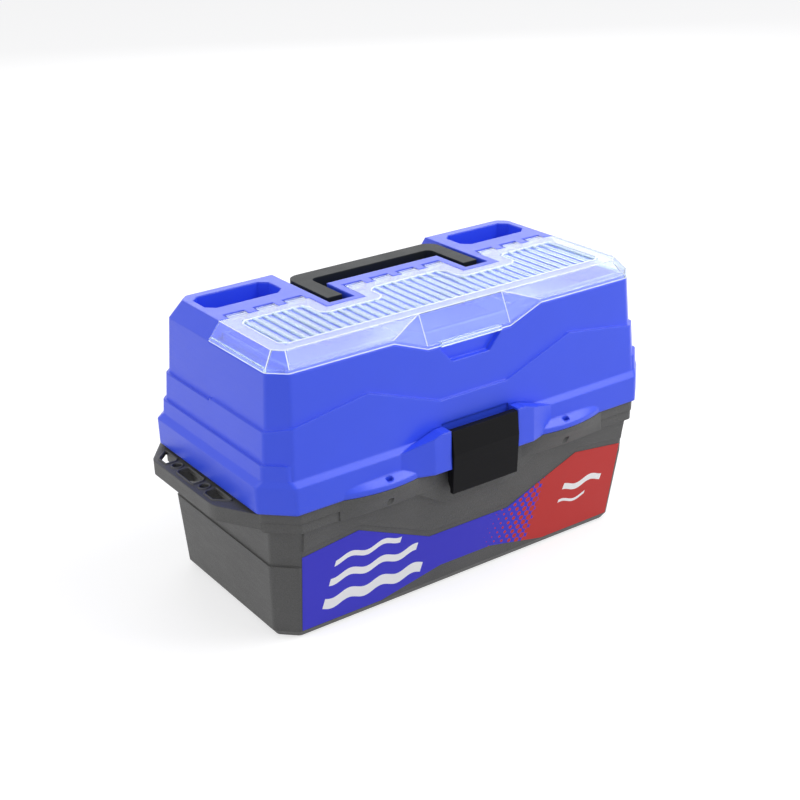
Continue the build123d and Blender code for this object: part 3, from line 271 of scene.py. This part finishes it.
def wave_band():
    """Mask of one wavy band of the label's print."""
    group = bpy.data.node_groups.get("wave band")
    if group:
        return group
    tree, inside, outside = shader_group(
        "wave band", ("X", "Z", "Height", "Width", "Swing", "Wavelength", "From", "To"), ("Mask",))
    x, z = inside.outputs["X"], inside.outputs["Z"]
    turn = calc(tree, "DIVIDE", calc(tree, "MULTIPLY", x, 2 * math.pi), inside.outputs["Wavelength"])
    wave = calc(tree, "SINE", turn)
    line = calc(tree, "MULTIPLY_ADD", wave, inside.outputs["Swing"], inside.outputs["Height"])
    off = calc(tree, "ABSOLUTE", calc(tree, "SUBTRACT", z, line))
    mask = calc(tree, "LESS_THAN", off, calc(tree, "MULTIPLY", inside.outputs["Width"], 0.5))
    lean = calc(tree, "MULTIPLY_ADD", z, -WAVE_LEAN, x)
    mask = calc(tree, "MULTIPLY", mask, calc(tree, "GREATER_THAN", lean, inside.outputs["From"]))
    mask = calc(tree, "MULTIPLY", mask, calc(tree, "LESS_THAN", lean, inside.outputs["To"]))
    feed(tree, outside.inputs["Mask"], mask)
    return tree


def new_finish(name):
    """New material with a bare Principled shader."""
    material = bpy.data.materials.new(name)
    material.use_nodes = True
    shader = material.node_tree.nodes["Principled BSDF"]
    return material, material.node_tree, shader


def soft_normal(tree, height, strength, depth, rounding):
    """Normal with rounded edges and a bump on them."""
    bevel = add(tree, "ShaderNodeBevel", samples=6)
    bevel.inputs["Radius"].default_value = rounding
    bump = add(tree, "ShaderNodeBump")
    bump.inputs["Strength"].default_value = strength
    bump.inputs["Distance"].default_value = depth
    feed(tree, bump.inputs["Height"], height)
    feed(tree, bump.inputs["Normal"], bevel.outputs[0])
    return bump.outputs[0]


def shade(colour, factor):
    """Colour made lighter or darker."""
    return tuple(min(c * factor, 1.0) for c in colour)


def moulded_plastic(
        name, colour, roughness, grain, bump, rounding, contrast=0.05, gleam=0.5, speckle=0.6):
    """Moulded plastic: grained, a little cloudy, with soft handling marks in its gloss.

    Contrast is the colour's swing, speckle the grain's part in it, and gleam the specular level.
    """
    material, tree, shader = new_finish(name)
    grained = place_group(tree, moulded_grain(), Grain=grain, Cloud=22.0, Marks=60.0)
    fleck = calc(tree, "SUBTRACT", grained.outputs["Height"], 0.5)
    swing = calc(tree, "MULTIPLY_ADD", fleck, speckle, grained.outputs["Tone"])
    tone = blend_colours(tree, swing, shade(colour, 1 - contrast), shade(colour, 1 + contrast))
    feed(tree, shader.inputs["Base Color"], tone)
    low, high = roughness
    feed(tree, shader.inputs["Roughness"], remap(tree, grained.outputs["Gloss"], low, high))
    normal = soft_normal(tree, grained.outputs["Height"], bump, GRAIN_DEPTH, rounding)
    feed(tree, shader.inputs["Normal"], normal)
    shader.inputs["IOR"].default_value = MOULDED_IOR
    shader.inputs["Specular IOR Level"].default_value = gleam
    return material


def clear_plastic(name, tint, clarity):
    """Clear moulded plastic with faint flow ripples; the share that isn't clear is milky."""
    material, tree, shader = new_finish(name)
    grained = place_group(tree, moulded_grain(), Grain=90.0, Cloud=30.0, Marks=80.0)
    tone = blend_colours(tree, grained.outputs["Tone"], shade(tint, 0.985), tint)
    feed(tree, shader.inputs["Base Color"], tone)
    feed(tree, shader.inputs["Roughness"], remap(tree, grained.outputs["Gloss"], 0.03, 0.09))
    bump = add(tree, "ShaderNodeBump")
    bump.inputs["Strength"].default_value = RIPPLE
    bump.inputs["Distance"].default_value = RIPPLE_DEPTH
    feed(tree, bump.inputs["Height"], grained.outputs["Height"])
    feed(tree, shader.inputs["Normal"], bump.outputs[0])
    shader.inputs["Transmission Weight"].default_value = clarity
    shader.inputs["IOR"].default_value = CLEAR_IOR
    # light from the lamps passes through
    through = add(tree, "ShaderNodeBsdfTransparent")
    through.inputs["Color"].default_value = (*tint, 1.0)
    mix = add(tree, "ShaderNodeMixShader")
    feed(tree, mix.inputs[0], add(tree, "ShaderNodeLightPath").outputs["Is Shadow Ray"])
    feed(tree, mix.inputs[1], shader.outputs[0])
    feed(tree, mix.inputs[2], through.outputs[0])
    feed(tree, tree.nodes["Material Output"].inputs["Surface"], mix.outputs[0])
    return material


def drawn_steel(name):
    """Drawn steel with fine lines along the pins."""
    material, tree, shader = new_finish(name)
    place = add(tree, "ShaderNodeTexCoord").outputs["Object"]
    stretch = add(tree, "ShaderNodeMapping")
    feed(tree, stretch.inputs["Vector"], place)
    stretch.inputs["Scale"].default_value = (0.02, 1.0, 1.0)
    lines = noise(tree, stretch.outputs[0], 4000.0, 3.0)
    tone = blend_colours(tree, lines, (0.42, 0.42, 0.43), (0.62, 0.62, 0.61))
    feed(tree, shader.inputs["Base Color"], tone)
    feed(tree, shader.inputs["Roughness"], remap(tree, lines, 0.22, 0.42))
    shader.inputs["Metallic"].default_value = 1.0
    return material


def along_axes(tree, vector):
    """X and Z of a place."""
    split = add(tree, "ShaderNodeSeparateXYZ")
    feed(tree, split.inputs[0], vector)
    return split.outputs["X"], split.outputs["Z"]


def label_dots(tree, place, edge):
    """Mask of dots in slanted rows that grow towards the red panel's edge."""
    turn = add(tree, "ShaderNodeMapping")
    feed(tree, turn.inputs["Vector"], place)
    turn.inputs["Rotation"].default_value = (0.0, DOT_TURN, 0.0)
    squares = []
    for socket in along_axes(tree, turn.outputs[0]):
        near = calc(tree, "WRAP", socket, DOT_PITCH / 2, -DOT_PITCH / 2)
        squares.append(calc(tree, "POWER", near, 2.0))
    reach = calc(tree, "SQRT", calc(tree, "ADD", *squares))
    size = add(tree, "ShaderNodeMapRange")
    feed(tree, size.inputs["Value"], edge)
    for socket, value in (("From Min", -DOT_FADE), ("From Max", 0.0), ("To Min", 0.0), ("To Max", DOT_R)):
        size.inputs[socket].default_value = value
    return calc(tree, "LESS_THAN", reach, size.outputs[0])


def label_bands(tree, x, z):
    """Mask of all wave bands."""
    mask = 0.0
    for height, width, start, end in WAVE_BANDS:
        band = place_group(tree, wave_band(), X=x, Z=z, Height=height, Width=width, Swing=WAVE_SWING,
                           Wavelength=WAVE_LENGTH, From=start, To=end)
        mask = calc(tree, "MAXIMUM", mask, band.outputs["Mask"])
    return mask


def printed_label(name, colours):
    """Glossy label: blue field, red panel at the right, white wave bands and a fade of red dots."""
    material, tree, shader = new_finish(name)
    place = add(tree, "ShaderNodeTexCoord").outputs["Object"]
    x, z = along_axes(tree, place)
    slope = (RED_TOP[0] - RED_FOOT[0]) / (RED_TOP[1] - RED_FOOT[1])
    offset = calc(tree, "ADD", x, slope * RED_FOOT[1] - RED_FOOT[0])
    edge = calc(tree, "MULTIPLY_ADD", z, -slope, offset)
    panel = calc(tree, "GREATER_THAN", edge, 0.0)
    red = calc(tree, "MAXIMUM", panel, label_dots(tree, place, edge))
    ink = blend_colours(tree, red, colours.label_blue, colours.label_red)
    print_colour = blend_colours(tree, label_bands(tree, x, z), ink, colours.label_white)
    feed(tree, shader.inputs["Base Color"], print_colour)
    grained = place_group(tree, moulded_grain(), Grain=900.0, Cloud=18.0, Marks=50.0)
    feed(tree, shader.inputs["Roughness"], remap(tree, grained.outputs["Gloss"], 0.26, 0.40))
    normal = soft_normal(tree, grained.outputs["Height"], PAPER, PAPER_DEPTH, PAPER_ROUND)
    feed(tree, shader.inputs["Normal"], normal)
    shader.inputs["Specular IOR Level"].default_value = LABEL_GLEAM
    return material


def finish(material, *names):
    """Give CAD pieces a material."""
    for name in names:
        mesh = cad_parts[name].data
        mesh.materials.clear()
        mesh.materials.append(material)


def nodes_named(*starts):
    """CAD pieces whose names begin with one of the given words."""
    return [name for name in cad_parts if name.startswith(starts)]


# Beads and crowns that follow paths

def nodes_group(name, sizes):
    """Empty Geometry Nodes tree with a geometry in and out, named sizes and a material."""
    tree = bpy.data.node_groups.new(name, "GeometryNodeTree")
    tree.interface.new_socket("Geometry", in_out="INPUT", socket_type="NodeSocketGeometry")
    for label in sizes:
        tree.interface.new_socket(label, in_out="INPUT", socket_type="NodeSocketFloat")
    tree.interface.new_socket("Material", in_out="INPUT", socket_type="NodeSocketMaterial")
    tree.interface.new_socket("Geometry", in_out="OUTPUT", socket_type="NodeSocketGeometry")
    return tree, add(tree, "NodeGroupInput"), add(tree, "NodeGroupOutput")


def end_tree(tree, inside, outside, geometry):
    """Realize, smooth, set the material and hand the geometry out."""
    smooth = add(tree, "GeometryNodeSetShadeSmooth")
    real = add(tree, "GeometryNodeRealizeInstances")
    paint = add(tree, "GeometryNodeSetMaterial")
    feed(tree, smooth.inputs["Geometry"], geometry)
    feed(tree, real.inputs[0], smooth.outputs[0])
    feed(tree, paint.inputs["Geometry"], real.outputs[0])
    feed(tree, paint.inputs["Material"], inside.outputs["Material"])
    feed(tree, outside.inputs["Geometry"], paint.outputs[0])


def bead_tree():
    """Round bead along every outline, with rounded corners."""
    group = bpy.data.node_groups.get("bead along outline")
    if group:
        return group
    tree, inside, outside = nodes_group("bead along outline", ("Radius", "Corner"))
    path = add(tree, "GeometryNodeMeshToCurve")
    feed(tree, path.inputs["Mesh"], inside.outputs["Geometry"])
    soft = add(tree, "GeometryNodeFilletCurve")
    feed(tree, soft.inputs["Curve"], path.outputs[0])
    feed(tree, soft.inputs["Radius"], inside.outputs["Corner"])
    soft.mode = "POLY"
    soft.inputs["Count"].default_value = 5
    soft.inputs["Limit Radius"].default_value = True
    ring = add(tree, "GeometryNodeCurvePrimitiveCircle")
    ring.inputs["Resolution"].default_value = 10
    feed(tree, ring.inputs["Radius"], inside.outputs["Radius"])
    sweep = add(tree, "GeometryNodeCurveToMesh")
    feed(tree, sweep.inputs["Curve"], soft.outputs[0])
    feed(tree, sweep.inputs["Profile Curve"], ring.outputs[0])
    sweep.inputs["Fill Caps"].default_value = True
    end_tree(tree, inside, outside, sweep.outputs[0])
    return tree


def crown_tree():
    """Low rounded crown along every line."""
    tree, inside, outside = nodes_group("crown along line", ("Width", "Height"))
    path = add(tree, "GeometryNodeMeshToCurve")
    feed(tree, path.inputs["Mesh"], inside.outputs["Geometry"])
    upright = add(tree, "GeometryNodeSetCurveNormal", mode="Z_UP")
    feed(tree, upright.inputs["Curve"], path.outputs[0])
    ring = add(tree, "GeometryNodeCurvePrimitiveCircle")
    ring.inputs["Resolution"].default_value = 12
    ring.inputs["Radius"].default_value = 0.5
    size = add(tree, "ShaderNodeCombineXYZ")
    feed(tree, size.inputs["X"], inside.outputs["Width"])
    feed(tree, size.inputs["Y"], calc(tree, "MULTIPLY", inside.outputs["Height"], 2.0))
    size.inputs["Z"].default_value = 1.0
    flat = add(tree, "GeometryNodeTransform")
    feed(tree, flat.inputs["Geometry"], ring.outputs[0])
    feed(tree, flat.inputs["Scale"], size.outputs[0])
    sweep = add(tree, "GeometryNodeCurveToMesh")
    feed(tree, sweep.inputs["Curve"], upright.outputs[0])
    feed(tree, sweep.inputs["Profile Curve"], flat.outputs[0])
    sweep.inputs["Fill Caps"].default_value = True
    end_tree(tree, inside, outside, sweep.outputs[0])
    return tree


def grown(name, tree, points, edges, values):
    """Plain mesh that a Geometry Nodes tree grows along lines."""
    lines = bpy.data.meshes.new(name + "_lines")
    lines.from_pydata(points, edges, [])
    piece = bpy.data.objects.new(name, lines)
    bpy.context.scene.collection.objects.link(piece)
    modifier = piece.modifiers.new("Grow", "NODES")
    modifier.node_group = tree
    for item in tree.interface.items_tree:
        if item.item_type == "SOCKET" and item.in_out == "INPUT" and item.name in values:
            modifier[item.identifier] = values[item.name]
    ready = piece.evaluated_get(bpy.context.evaluated_depsgraph_get())
    mesh = bpy.data.meshes.new_from_object(ready)
    piece.modifiers.clear()
    piece.data = mesh
    mesh.name = name
    bpy.data.meshes.remove(lines)
    return piece


def closed(outlines):
    """Points and edges of closed outlines."""
    points, edges = [], []
    for outline in outlines:
        first, count = len(points), len(outline)
        points += outline
        edges += [(first + i, first + (i + 1) % count) for i in range(count)]
    return points, edges


def chained(lines):
    """Points and edges of open lines."""
    points, edges = [], []
    for line in lines:
        first = len(points)
        points += line
        edges += [(i, i + 1) for i in range(first, first + len(line) - 1)]
    return points, edges


def rack_outlines():
    """Outlines of the slots and holes of both tool racks."""
    outlines = []
    c, width = RACK_SLOT_C, RACK_X1 - RACK_X0
    for side in (1, -1):
        for y0, y1 in RACK_SLOTS:
            front = [(RACK_X0, y0 + c), (RACK_X0 + c, y0), (RACK_X1, y0)]
            rear = [(RACK_X1, y1 - c), (RACK_X1 - c, y1), (RACK_X0, y1)]
            if y0 == RACK_SLOTS[-1][0]:
                front = [(RACK_X0, y0), (RACK_X1, y0 + width)]
            if y1 == RACK_SLOTS[0][1]:
                rear = [(RACK_X1, y1 - width), (RACK_X0, y1)]
            outlines.append([(side * x, y, RACK_TOP) for x, y in front + rear])
        middle = (RACK_X0 + RACK_X1) / 2
        turns = [2 * math.pi * k / RACK_HOLE_SIDES for k in range(RACK_HOLE_SIDES)]
        ring = [(RACK_HOLE_R * math.cos(t), RACK_HOLE_R * math.sin(t)) for t in turns]
        for y in RACK_HOLES:
            outlines.append([(side * (middle + dx), y + dy, RACK_TOP) for dx, dy in ring])
    return outlines


def rib_lines():
    """Middle line of each cover rib, as long as the panel is there."""
    inner, outer = SLOT_X0 - COLLAR - PANEL_IN, SLOT_X1 + COLLAR + PANEL_IN
    front, rear = -TOP_Y + PANEL_IN, COVER_REAR - PANEL_IN
    notch = SLOT_Y - COLLAR - PANEL_IN
    pitch = 2 * (TOP_X - PANEL_IN) / RIB_COUNT
    points, edges = [], []
    for i in range(RIB_COUNT):
        x = (i - (RIB_COUNT - 1) / 2) * pitch
        end = notch if inner < abs(x) < outer else rear
        edges.append((len(points), len(points) + 1))
        points += [(x, front, TOP_Z), (x, end, TOP_Z)]
    return points, edges


def both_halves(right):
    """Line from the right end over the middle to the left, from its right half."""
    return right + [(-x, y, z) for x, y, z in reversed(right)]


def panel_outline(rise):
    """Outline of the cover's ribbed panel, raised from the cover's top."""
    x2, y0 = TOP_X - PANEL_IN, -TOP_Y + PANEL_IN
    rear, step = COVER_REAR - PANEL_IN, SLOT_Y - COLLAR - PANEL_IN
    x1, x0 = SLOT_X1 + COLLAR + PANEL_IN, SLOT_X0 - COLLAR - PANEL_IN
    c = PANEL_IN / 2
    right = [(x2 - c, y0), (x2, y0 + c), (x2, rear - c), (x2 - c, rear)]
    right += [(x1 + c, rear), (x1, rear - c), (x1, step + c), (x1 - c, step)]
    right += [(x0 + c, step), (x0, step + c), (x0, rear - c), (x0 - c, rear)]
    return both_halves([(x, y, TOP_Z + rise) for x, y in right])


def painted_edge_highlight(rise):
    """Lines for white beads painted as highlights on the lip, top edge, tab ridges, corners and creases of
    the cover, the lip raised a little.
    """
    lip = LIP_Z + rise
    lip_half = [(LIP_X, COVER_REAR, lip), (LIP_X, LIP_C - LIP_Y, lip), (LIP_X - LIP_C, -LIP_Y, lip)]
    lip_half += [(DIP_X1, -LIP_Y, lip), (DIP_X0, -LIP_Y, lip - DIP)]
    top_side, top_front = (TOP_X, TOP_C - TOP_Y, TOP_Z), (TOP_X - TOP_C, -TOP_Y, TOP_Z)
    top_half = [(TOP_X, COVER_REAR, TOP_Z), top_side, top_front]
    lines = [both_halves(lip_half), both_halves(top_half)]
    for k in range(2):
        z = LIP_Z - DIP + (2 * k + 0.5) * TAB_RIDGE
        lines.append(both_halves([(TAB_X, -TAB_Y, z)]))
    foot_x, foot_y, foot_z = LIP_X - BEVEL_IN, LIP_Y - BEVEL_IN, LIP_Z + LIP_H
    peak = (DIP_X0, -TOP_Y, TOP_Z)
    slants = (
        (top_side, (foot_x, LIP_C - LIP_Y, foot_z)),
        (top_front, (foot_x - LIP_C, -foot_y, foot_z)),
        (peak, (DIP_X0, -foot_y, foot_z - DIP)),
        (peak, (DIP_X1, -foot_y, foot_z)),
    )
    for side in (1, -1):
        lines += [[(side * x, y, z) for x, y, z in slant] for slant in slants]
    return lines


# Operators

class TACKLEBOX_OT_base(bpy.types.Operator):
    """Give the tub its grained dark grey plastic and beads round the tool slots"""

    bl_idname = "tacklebox.base"
    bl_label = "Base tub"

    def execute(self, context):
        colours, sizes = context.scene.box_colours, context.scene.box_sizes
        grey = moulded_plastic(
            "base grained grey", colours.base, roughness=(0.42, 0.60), grain=1150.0, bump=0.75,
            rounding=sizes.edge_round, contrast=0.22, speckle=2.2)
        finish(grey, "base_tub")
        beads = grown("rack_slot_beads", bead_tree(), *closed(rack_outlines()),
                      {"Radius": sizes.rack_bead, "Corner": RACK_BEAD_CORNER, "Material": grey})
        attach(beads, "base")
        return {"FINISHED"}


class TACKLEBOX_OT_label(bpy.types.Operator):
    """Print the label on the front wall"""

    bl_idname = "tacklebox.label"
    bl_label = "Label"

    def execute(self, context):
        finish(printed_label("label print", context.scene.box_colours), "front_label")
        return {"FINISHED"}


class TACKLEBOX_OT_lid(bpy.types.Operator):
    """Give the lid its satin blue plastic"""

    bl_idname = "tacklebox.lid"
    bl_label = "Lid"

    def execute(self, context):
        colours, sizes = context.scene.box_colours, context.scene.box_sizes
        blue = moulded_plastic(
            "lid satin blue", colours.lid, roughness=(0.27, 0.40), grain=1700.0, bump=0.16,
            rounding=sizes.lid_round, contrast=0.04)
        finish(blue, "lid_shell")
        return {"FINISHED"}


class TACKLEBOX_OT_cover(bpy.types.Operator):
    """Make the cover clear and add crowns to its ribs, a bead round them and white beads along its edges;
    their milky white is painted sheen and painted highlight
    """

    bl_idname = "tacklebox.cover"
    bl_label = "Clear cover"

    def execute(self, context):
        colours, sizes = context.scene.box_colours, context.scene.box_sizes
        finish(clear_plastic("cover clear", colours.cover, CLEAR_COVER), "clear_cover")
        # painted sheen: the crowns are real rounded ribs, and their milkier plastic paints the white of
        # the reflections on them
        rib_sheen_paint = clear_plastic("cover polished ribs", colours.cover, CLEAR_RIB_SHEEN)
        # painted highlight: nearly milky white plastic for the beads along the cover's edges and round its
        # panel, standing in for the light on them
        highlight_paint = clear_plastic("cover bright edges", colours.painted_edge_highlight, CLEAR_EDGE_HIGHLIGHTS)
        tree = bead_tree()
        crowns = grown("cover_rib_crowns", crown_tree(), *rib_lines(),
                       {"Width": RIB_W, "Height": sizes.rib_crown, "Material": rib_sheen_paint})
        # the panel bead is partly a real raised border, partly painted highlight
        bead = grown("cover_panel_bead", tree, *closed([panel_outline(-sizes.panel_bead / 2)]),
                     {"Radius": sizes.panel_bead, "Corner": COVER_BEAD_CORNER, "Material": highlight_paint})
        # white beads along the lip, top edge, tab ridges, corners and creases: painted highlight
        edges = grown("cover_edge_beads", tree, *chained(painted_edge_highlight(sizes.edge_highlight_bead)),
                      {"Radius": sizes.edge_highlight_bead, "Corner": COVER_BEAD_CORNER, "Material": highlight_paint})
        for piece in (crowns, bead, edges):
            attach(piece, "cover")
        return {"FINISHED"}


class TACKLEBOX_OT_latch(bpy.types.Operator):
    """Give the latch its black satin plastic"""

    bl_idname = "tacklebox.latch"
    bl_label = "Latch"

    def execute(self, context):
        colours, sizes = context.scene.box_colours, context.scene.box_sizes
        black = moulded_plastic(
            "latch black", colours.latch, roughness=(0.42, 0.56), grain=2600.0, bump=0.12,
            rounding=sizes.edge_round, contrast=0.10, gleam=0.10)
        finish(black, "front_latch")
        return {"FINISHED"}


class TACKLEBOX_OT_handle(bpy.types.Operator):
    """Give the carry handle its grained dark plastic"""

    bl_idname = "tacklebox.handle"
    bl_label = "Carry handle"

    def execute(self, context):
        colours, sizes = context.scene.box_colours, context.scene.box_sizes
        dark = moulded_plastic(
            "handle dark grey", colours.handle, roughness=(0.40, 0.54), grain=1800.0, bump=0.20,
            rounding=sizes.edge_round, contrast=0.08, gleam=0.14)
        finish(dark, "carry_handle")
        return {"FINISHED"}


class TACKLEBOX_OT_trays(bpy.types.Operator):
    """Give trays, dividers, arms and guide plates their plastics"""

    bl_idname = "tacklebox.trays"
    bl_label = "Trays and arms"

    def execute(self, context):
        colours = context.scene.box_colours
        rounding = context.scene.box_sizes.edge_round / 2
        trays = moulded_plastic(
            "tray grey", colours.trays, roughness=(0.42, 0.56), grain=1800.0, bump=0.14, rounding=rounding)
        arms = moulded_plastic(
            "arm dark grey", colours.arms, roughness=(0.40, 0.55), grain=2000.0, bump=0.16,
            rounding=rounding, contrast=0.08)
        milky = moulded_plastic(
            "divider milky", colours.dividers, roughness=(0.28, 0.42), grain=1600.0, bump=0.10,
            rounding=rounding / 2, contrast=0.04)
        finish(trays, "tray_lower", "tray_middle", "tray_upper")
        finish(milky, "tray_lower_dividers", "tray_middle_dividers", "tray_upper_dividers")
        finish(clear_plastic("divider clear", colours.cover, CLEAR_DIVIDERS), "organiser_dividers")
        finish(arms, *nodes_named("front_arm", "rear_arm", "guide_plate"))
        return {"FINISHED"}


class TACKLEBOX_OT_pins(bpy.types.Operator):
    """Give pins and rivets their drawn steel"""

    bl_idname = "tacklebox.pins"
    bl_label = "Pins and rivets"

    def execute(self, context):
        names = nodes_named("hinge_pin", "cover_pin", "latch_pin", "handle_pin", "arm_base_pins")
        names += ["tray_lower_pins", "tray_middle_pins", "tray_upper_pins"]
        finish(drawn_steel("pin drawn steel"), *names)
        return {"FINISHED"}


def camera_matrix():
    """Place and turn of the camera."""
    az, down, roll = (math.radians(a) for a in (CAMERA_AZIMUTH, CAMERA_DOWN, CAMERA_ROLL))
    ahead = Vector((math.sin(az) * math.cos(down), math.cos(az) * math.cos(down), -math.sin(down)))
    right = Vector((math.cos(az), -math.sin(az), 0.0))
    up = right.cross(ahead)
    across = right * math.cos(roll) + up * math.sin(roll)
    above = up * math.cos(roll) - right * math.sin(roll)
    turn = Matrix((across, above, -ahead)).transposed().to_4x4()
    return Matrix.Translation(CAMERA_PLACE) @ turn


def seen_ray(tree):
    """1 for rays that see the surroundings straight, mirrored or through clear plastic, else 0."""
    path = add(tree, "ShaderNodeLightPath")
    seen = calc(tree, "MAXIMUM", path.outputs["Is Camera Ray"], path.outputs["Is Glossy Ray"])
    return calc(tree, "MAXIMUM", seen, path.outputs["Is Transmission Ray"])


def white_world(scene, fill):
    """Even white light, and plain white where the background is seen."""
    world = bpy.data.worlds.new("studio white")
    scene.world = world
    world.use_nodes = True
    tree = world.node_tree
    light = tree.nodes["Background"]
    light.inputs["Color"].default_value = WHITE
    light.inputs["Strength"].default_value = fill
    white = add(tree, "ShaderNodeBackground")
    white.inputs["Color"].default_value = WHITE
    mix = add(tree, "ShaderNodeMixShader")
    feed(tree, mix.inputs[0], seen_ray(tree))
    feed(tree, mix.inputs[1], light.outputs[0])
    feed(tree, mix.inputs[2], white.outputs[0])
    feed(tree, tree.nodes["World Output"].inputs["Surface"], mix.outputs[0])


def shadow_floor(scene):
    """Large floor that looks white and keeps the box's shadow."""
    signs = ((-1, -1), (1, -1), (1, 1), (-1, 1))
    mesh = bpy.data.meshes.new("floor")
    mesh.from_pydata([(x * FLOOR_HALF, y * FLOOR_HALF, 0) for x, y in signs], [], [(0, 1, 2, 3)])
    floor = bpy.data.objects.new("floor", mesh)
    scene.collection.objects.link(floor)
    material, tree, shader = new_finish("floor white")
    shader.inputs["Base Color"].default_value = FLOOR_GREY
    shader.inputs["Roughness"].default_value = 1.0
    shader.inputs["Specular IOR Level"].default_value = 0.0
    shader.inputs["Emission Color"].default_value = WHITE
    glow = calc(tree, "MULTIPLY", seen_ray(tree), FLOOR_GLOW)
    feed(tree, shader.inputs["Emission Strength"], glow)
    mesh.materials.append(material)
    return floor


def soft_box(scene, name, power):
    """Square area lamp turned to the box."""
    place, size = SOFT_BOXES[name]
    lamp = bpy.data.lights.new(name, "AREA")
    lamp.energy = power
    lamp.size = size
    box = bpy.data.objects.new(name, lamp)
    scene.collection.objects.link(box)
    box.location = place
    ahead = Vector(LIT_POINT) - Vector(place)
    box.rotation_euler = ahead.to_track_quat("-Z", "Y").to_euler()


def photo_camera(scene):
    """Camera at the photograph's viewing angle."""
    lens = bpy.data.cameras.new("camera")
    lens.lens = CAMERA_LENS
    lens.sensor_width = CAMERA_SENSOR
    camera = bpy.data.objects.new("camera", lens)
    scene.collection.objects.link(camera)
    camera.matrix_world = camera_matrix()
    scene.camera = camera


class TACKLEBOX_OT_stage(bpy.types.Operator):
    """Set up the white floor, the even light, the soft boxes and the camera"""

    bl_idname = "tacklebox.stage"
    bl_label = "Studio"

    def execute(self, context):
        scene = context.scene
        scene.view_settings.view_transform = "Standard"
        white_world(scene, scene.box_studio.fill)
        shadow_floor(scene)
        for name in SOFT_BOXES:
            soft_box(scene, name, getattr(scene.box_studio, name))
        photo_camera(scene)
        return {"FINISHED"}


STEPS = (TACKLEBOX_OT_base, TACKLEBOX_OT_label, TACKLEBOX_OT_lid, TACKLEBOX_OT_cover, TACKLEBOX_OT_latch,
         TACKLEBOX_OT_handle, TACKLEBOX_OT_trays, TACKLEBOX_OT_pins, TACKLEBOX_OT_stage)


class TACKLEBOX_PT_panel(bpy.types.Panel):
    """Sidebar panel of the tackle box"""

    bl_idname = "TACKLEBOX_PT_panel"
    bl_label = "Tackle box"
    bl_space_type = "VIEW_3D"
    bl_region_type = "UI"
    bl_category = "Tackle box"

    def draw(self, context):
        for step in STEPS:
            self.layout.operator(step.bl_idname)
        for group in (context.scene.box_colours, context.scene.box_sizes, context.scene.box_studio):
            column = self.layout.column()
            for name in group.__annotations__:
                column.prop(group, name)


CLASSES = (BoxColours, BoxSizes, BoxStudio, *STEPS, TACKLEBOX_PT_panel)


def register():
    """Make the classes and their settings known."""
    for kind in CLASSES:
        bpy.utils.register_class(kind)
    bpy.types.Scene.box_colours = PointerProperty(type=BoxColours)
    bpy.types.Scene.box_sizes = PointerProperty(type=BoxSizes)
    bpy.types.Scene.box_studio = PointerProperty(type=BoxStudio)


def unregister():
    """Take the settings and classes away again."""
    del bpy.types.Scene.box_studio
    del bpy.types.Scene.box_sizes
    del bpy.types.Scene.box_colours
    for kind in reversed(CLASSES):
        bpy.utils.unregister_class(kind)


def main():
    """Dress the box step by step."""
    register()
    bpy.ops.tacklebox.base()
    bpy.ops.tacklebox.label()
    bpy.ops.tacklebox.lid()
    bpy.ops.tacklebox.cover()
    bpy.ops.tacklebox.latch()
    bpy.ops.tacklebox.handle()
    bpy.ops.tacklebox.trays()
    bpy.ops.tacklebox.pins()
    bpy.ops.tacklebox.stage()


if __name__ == "__main__":
    main()
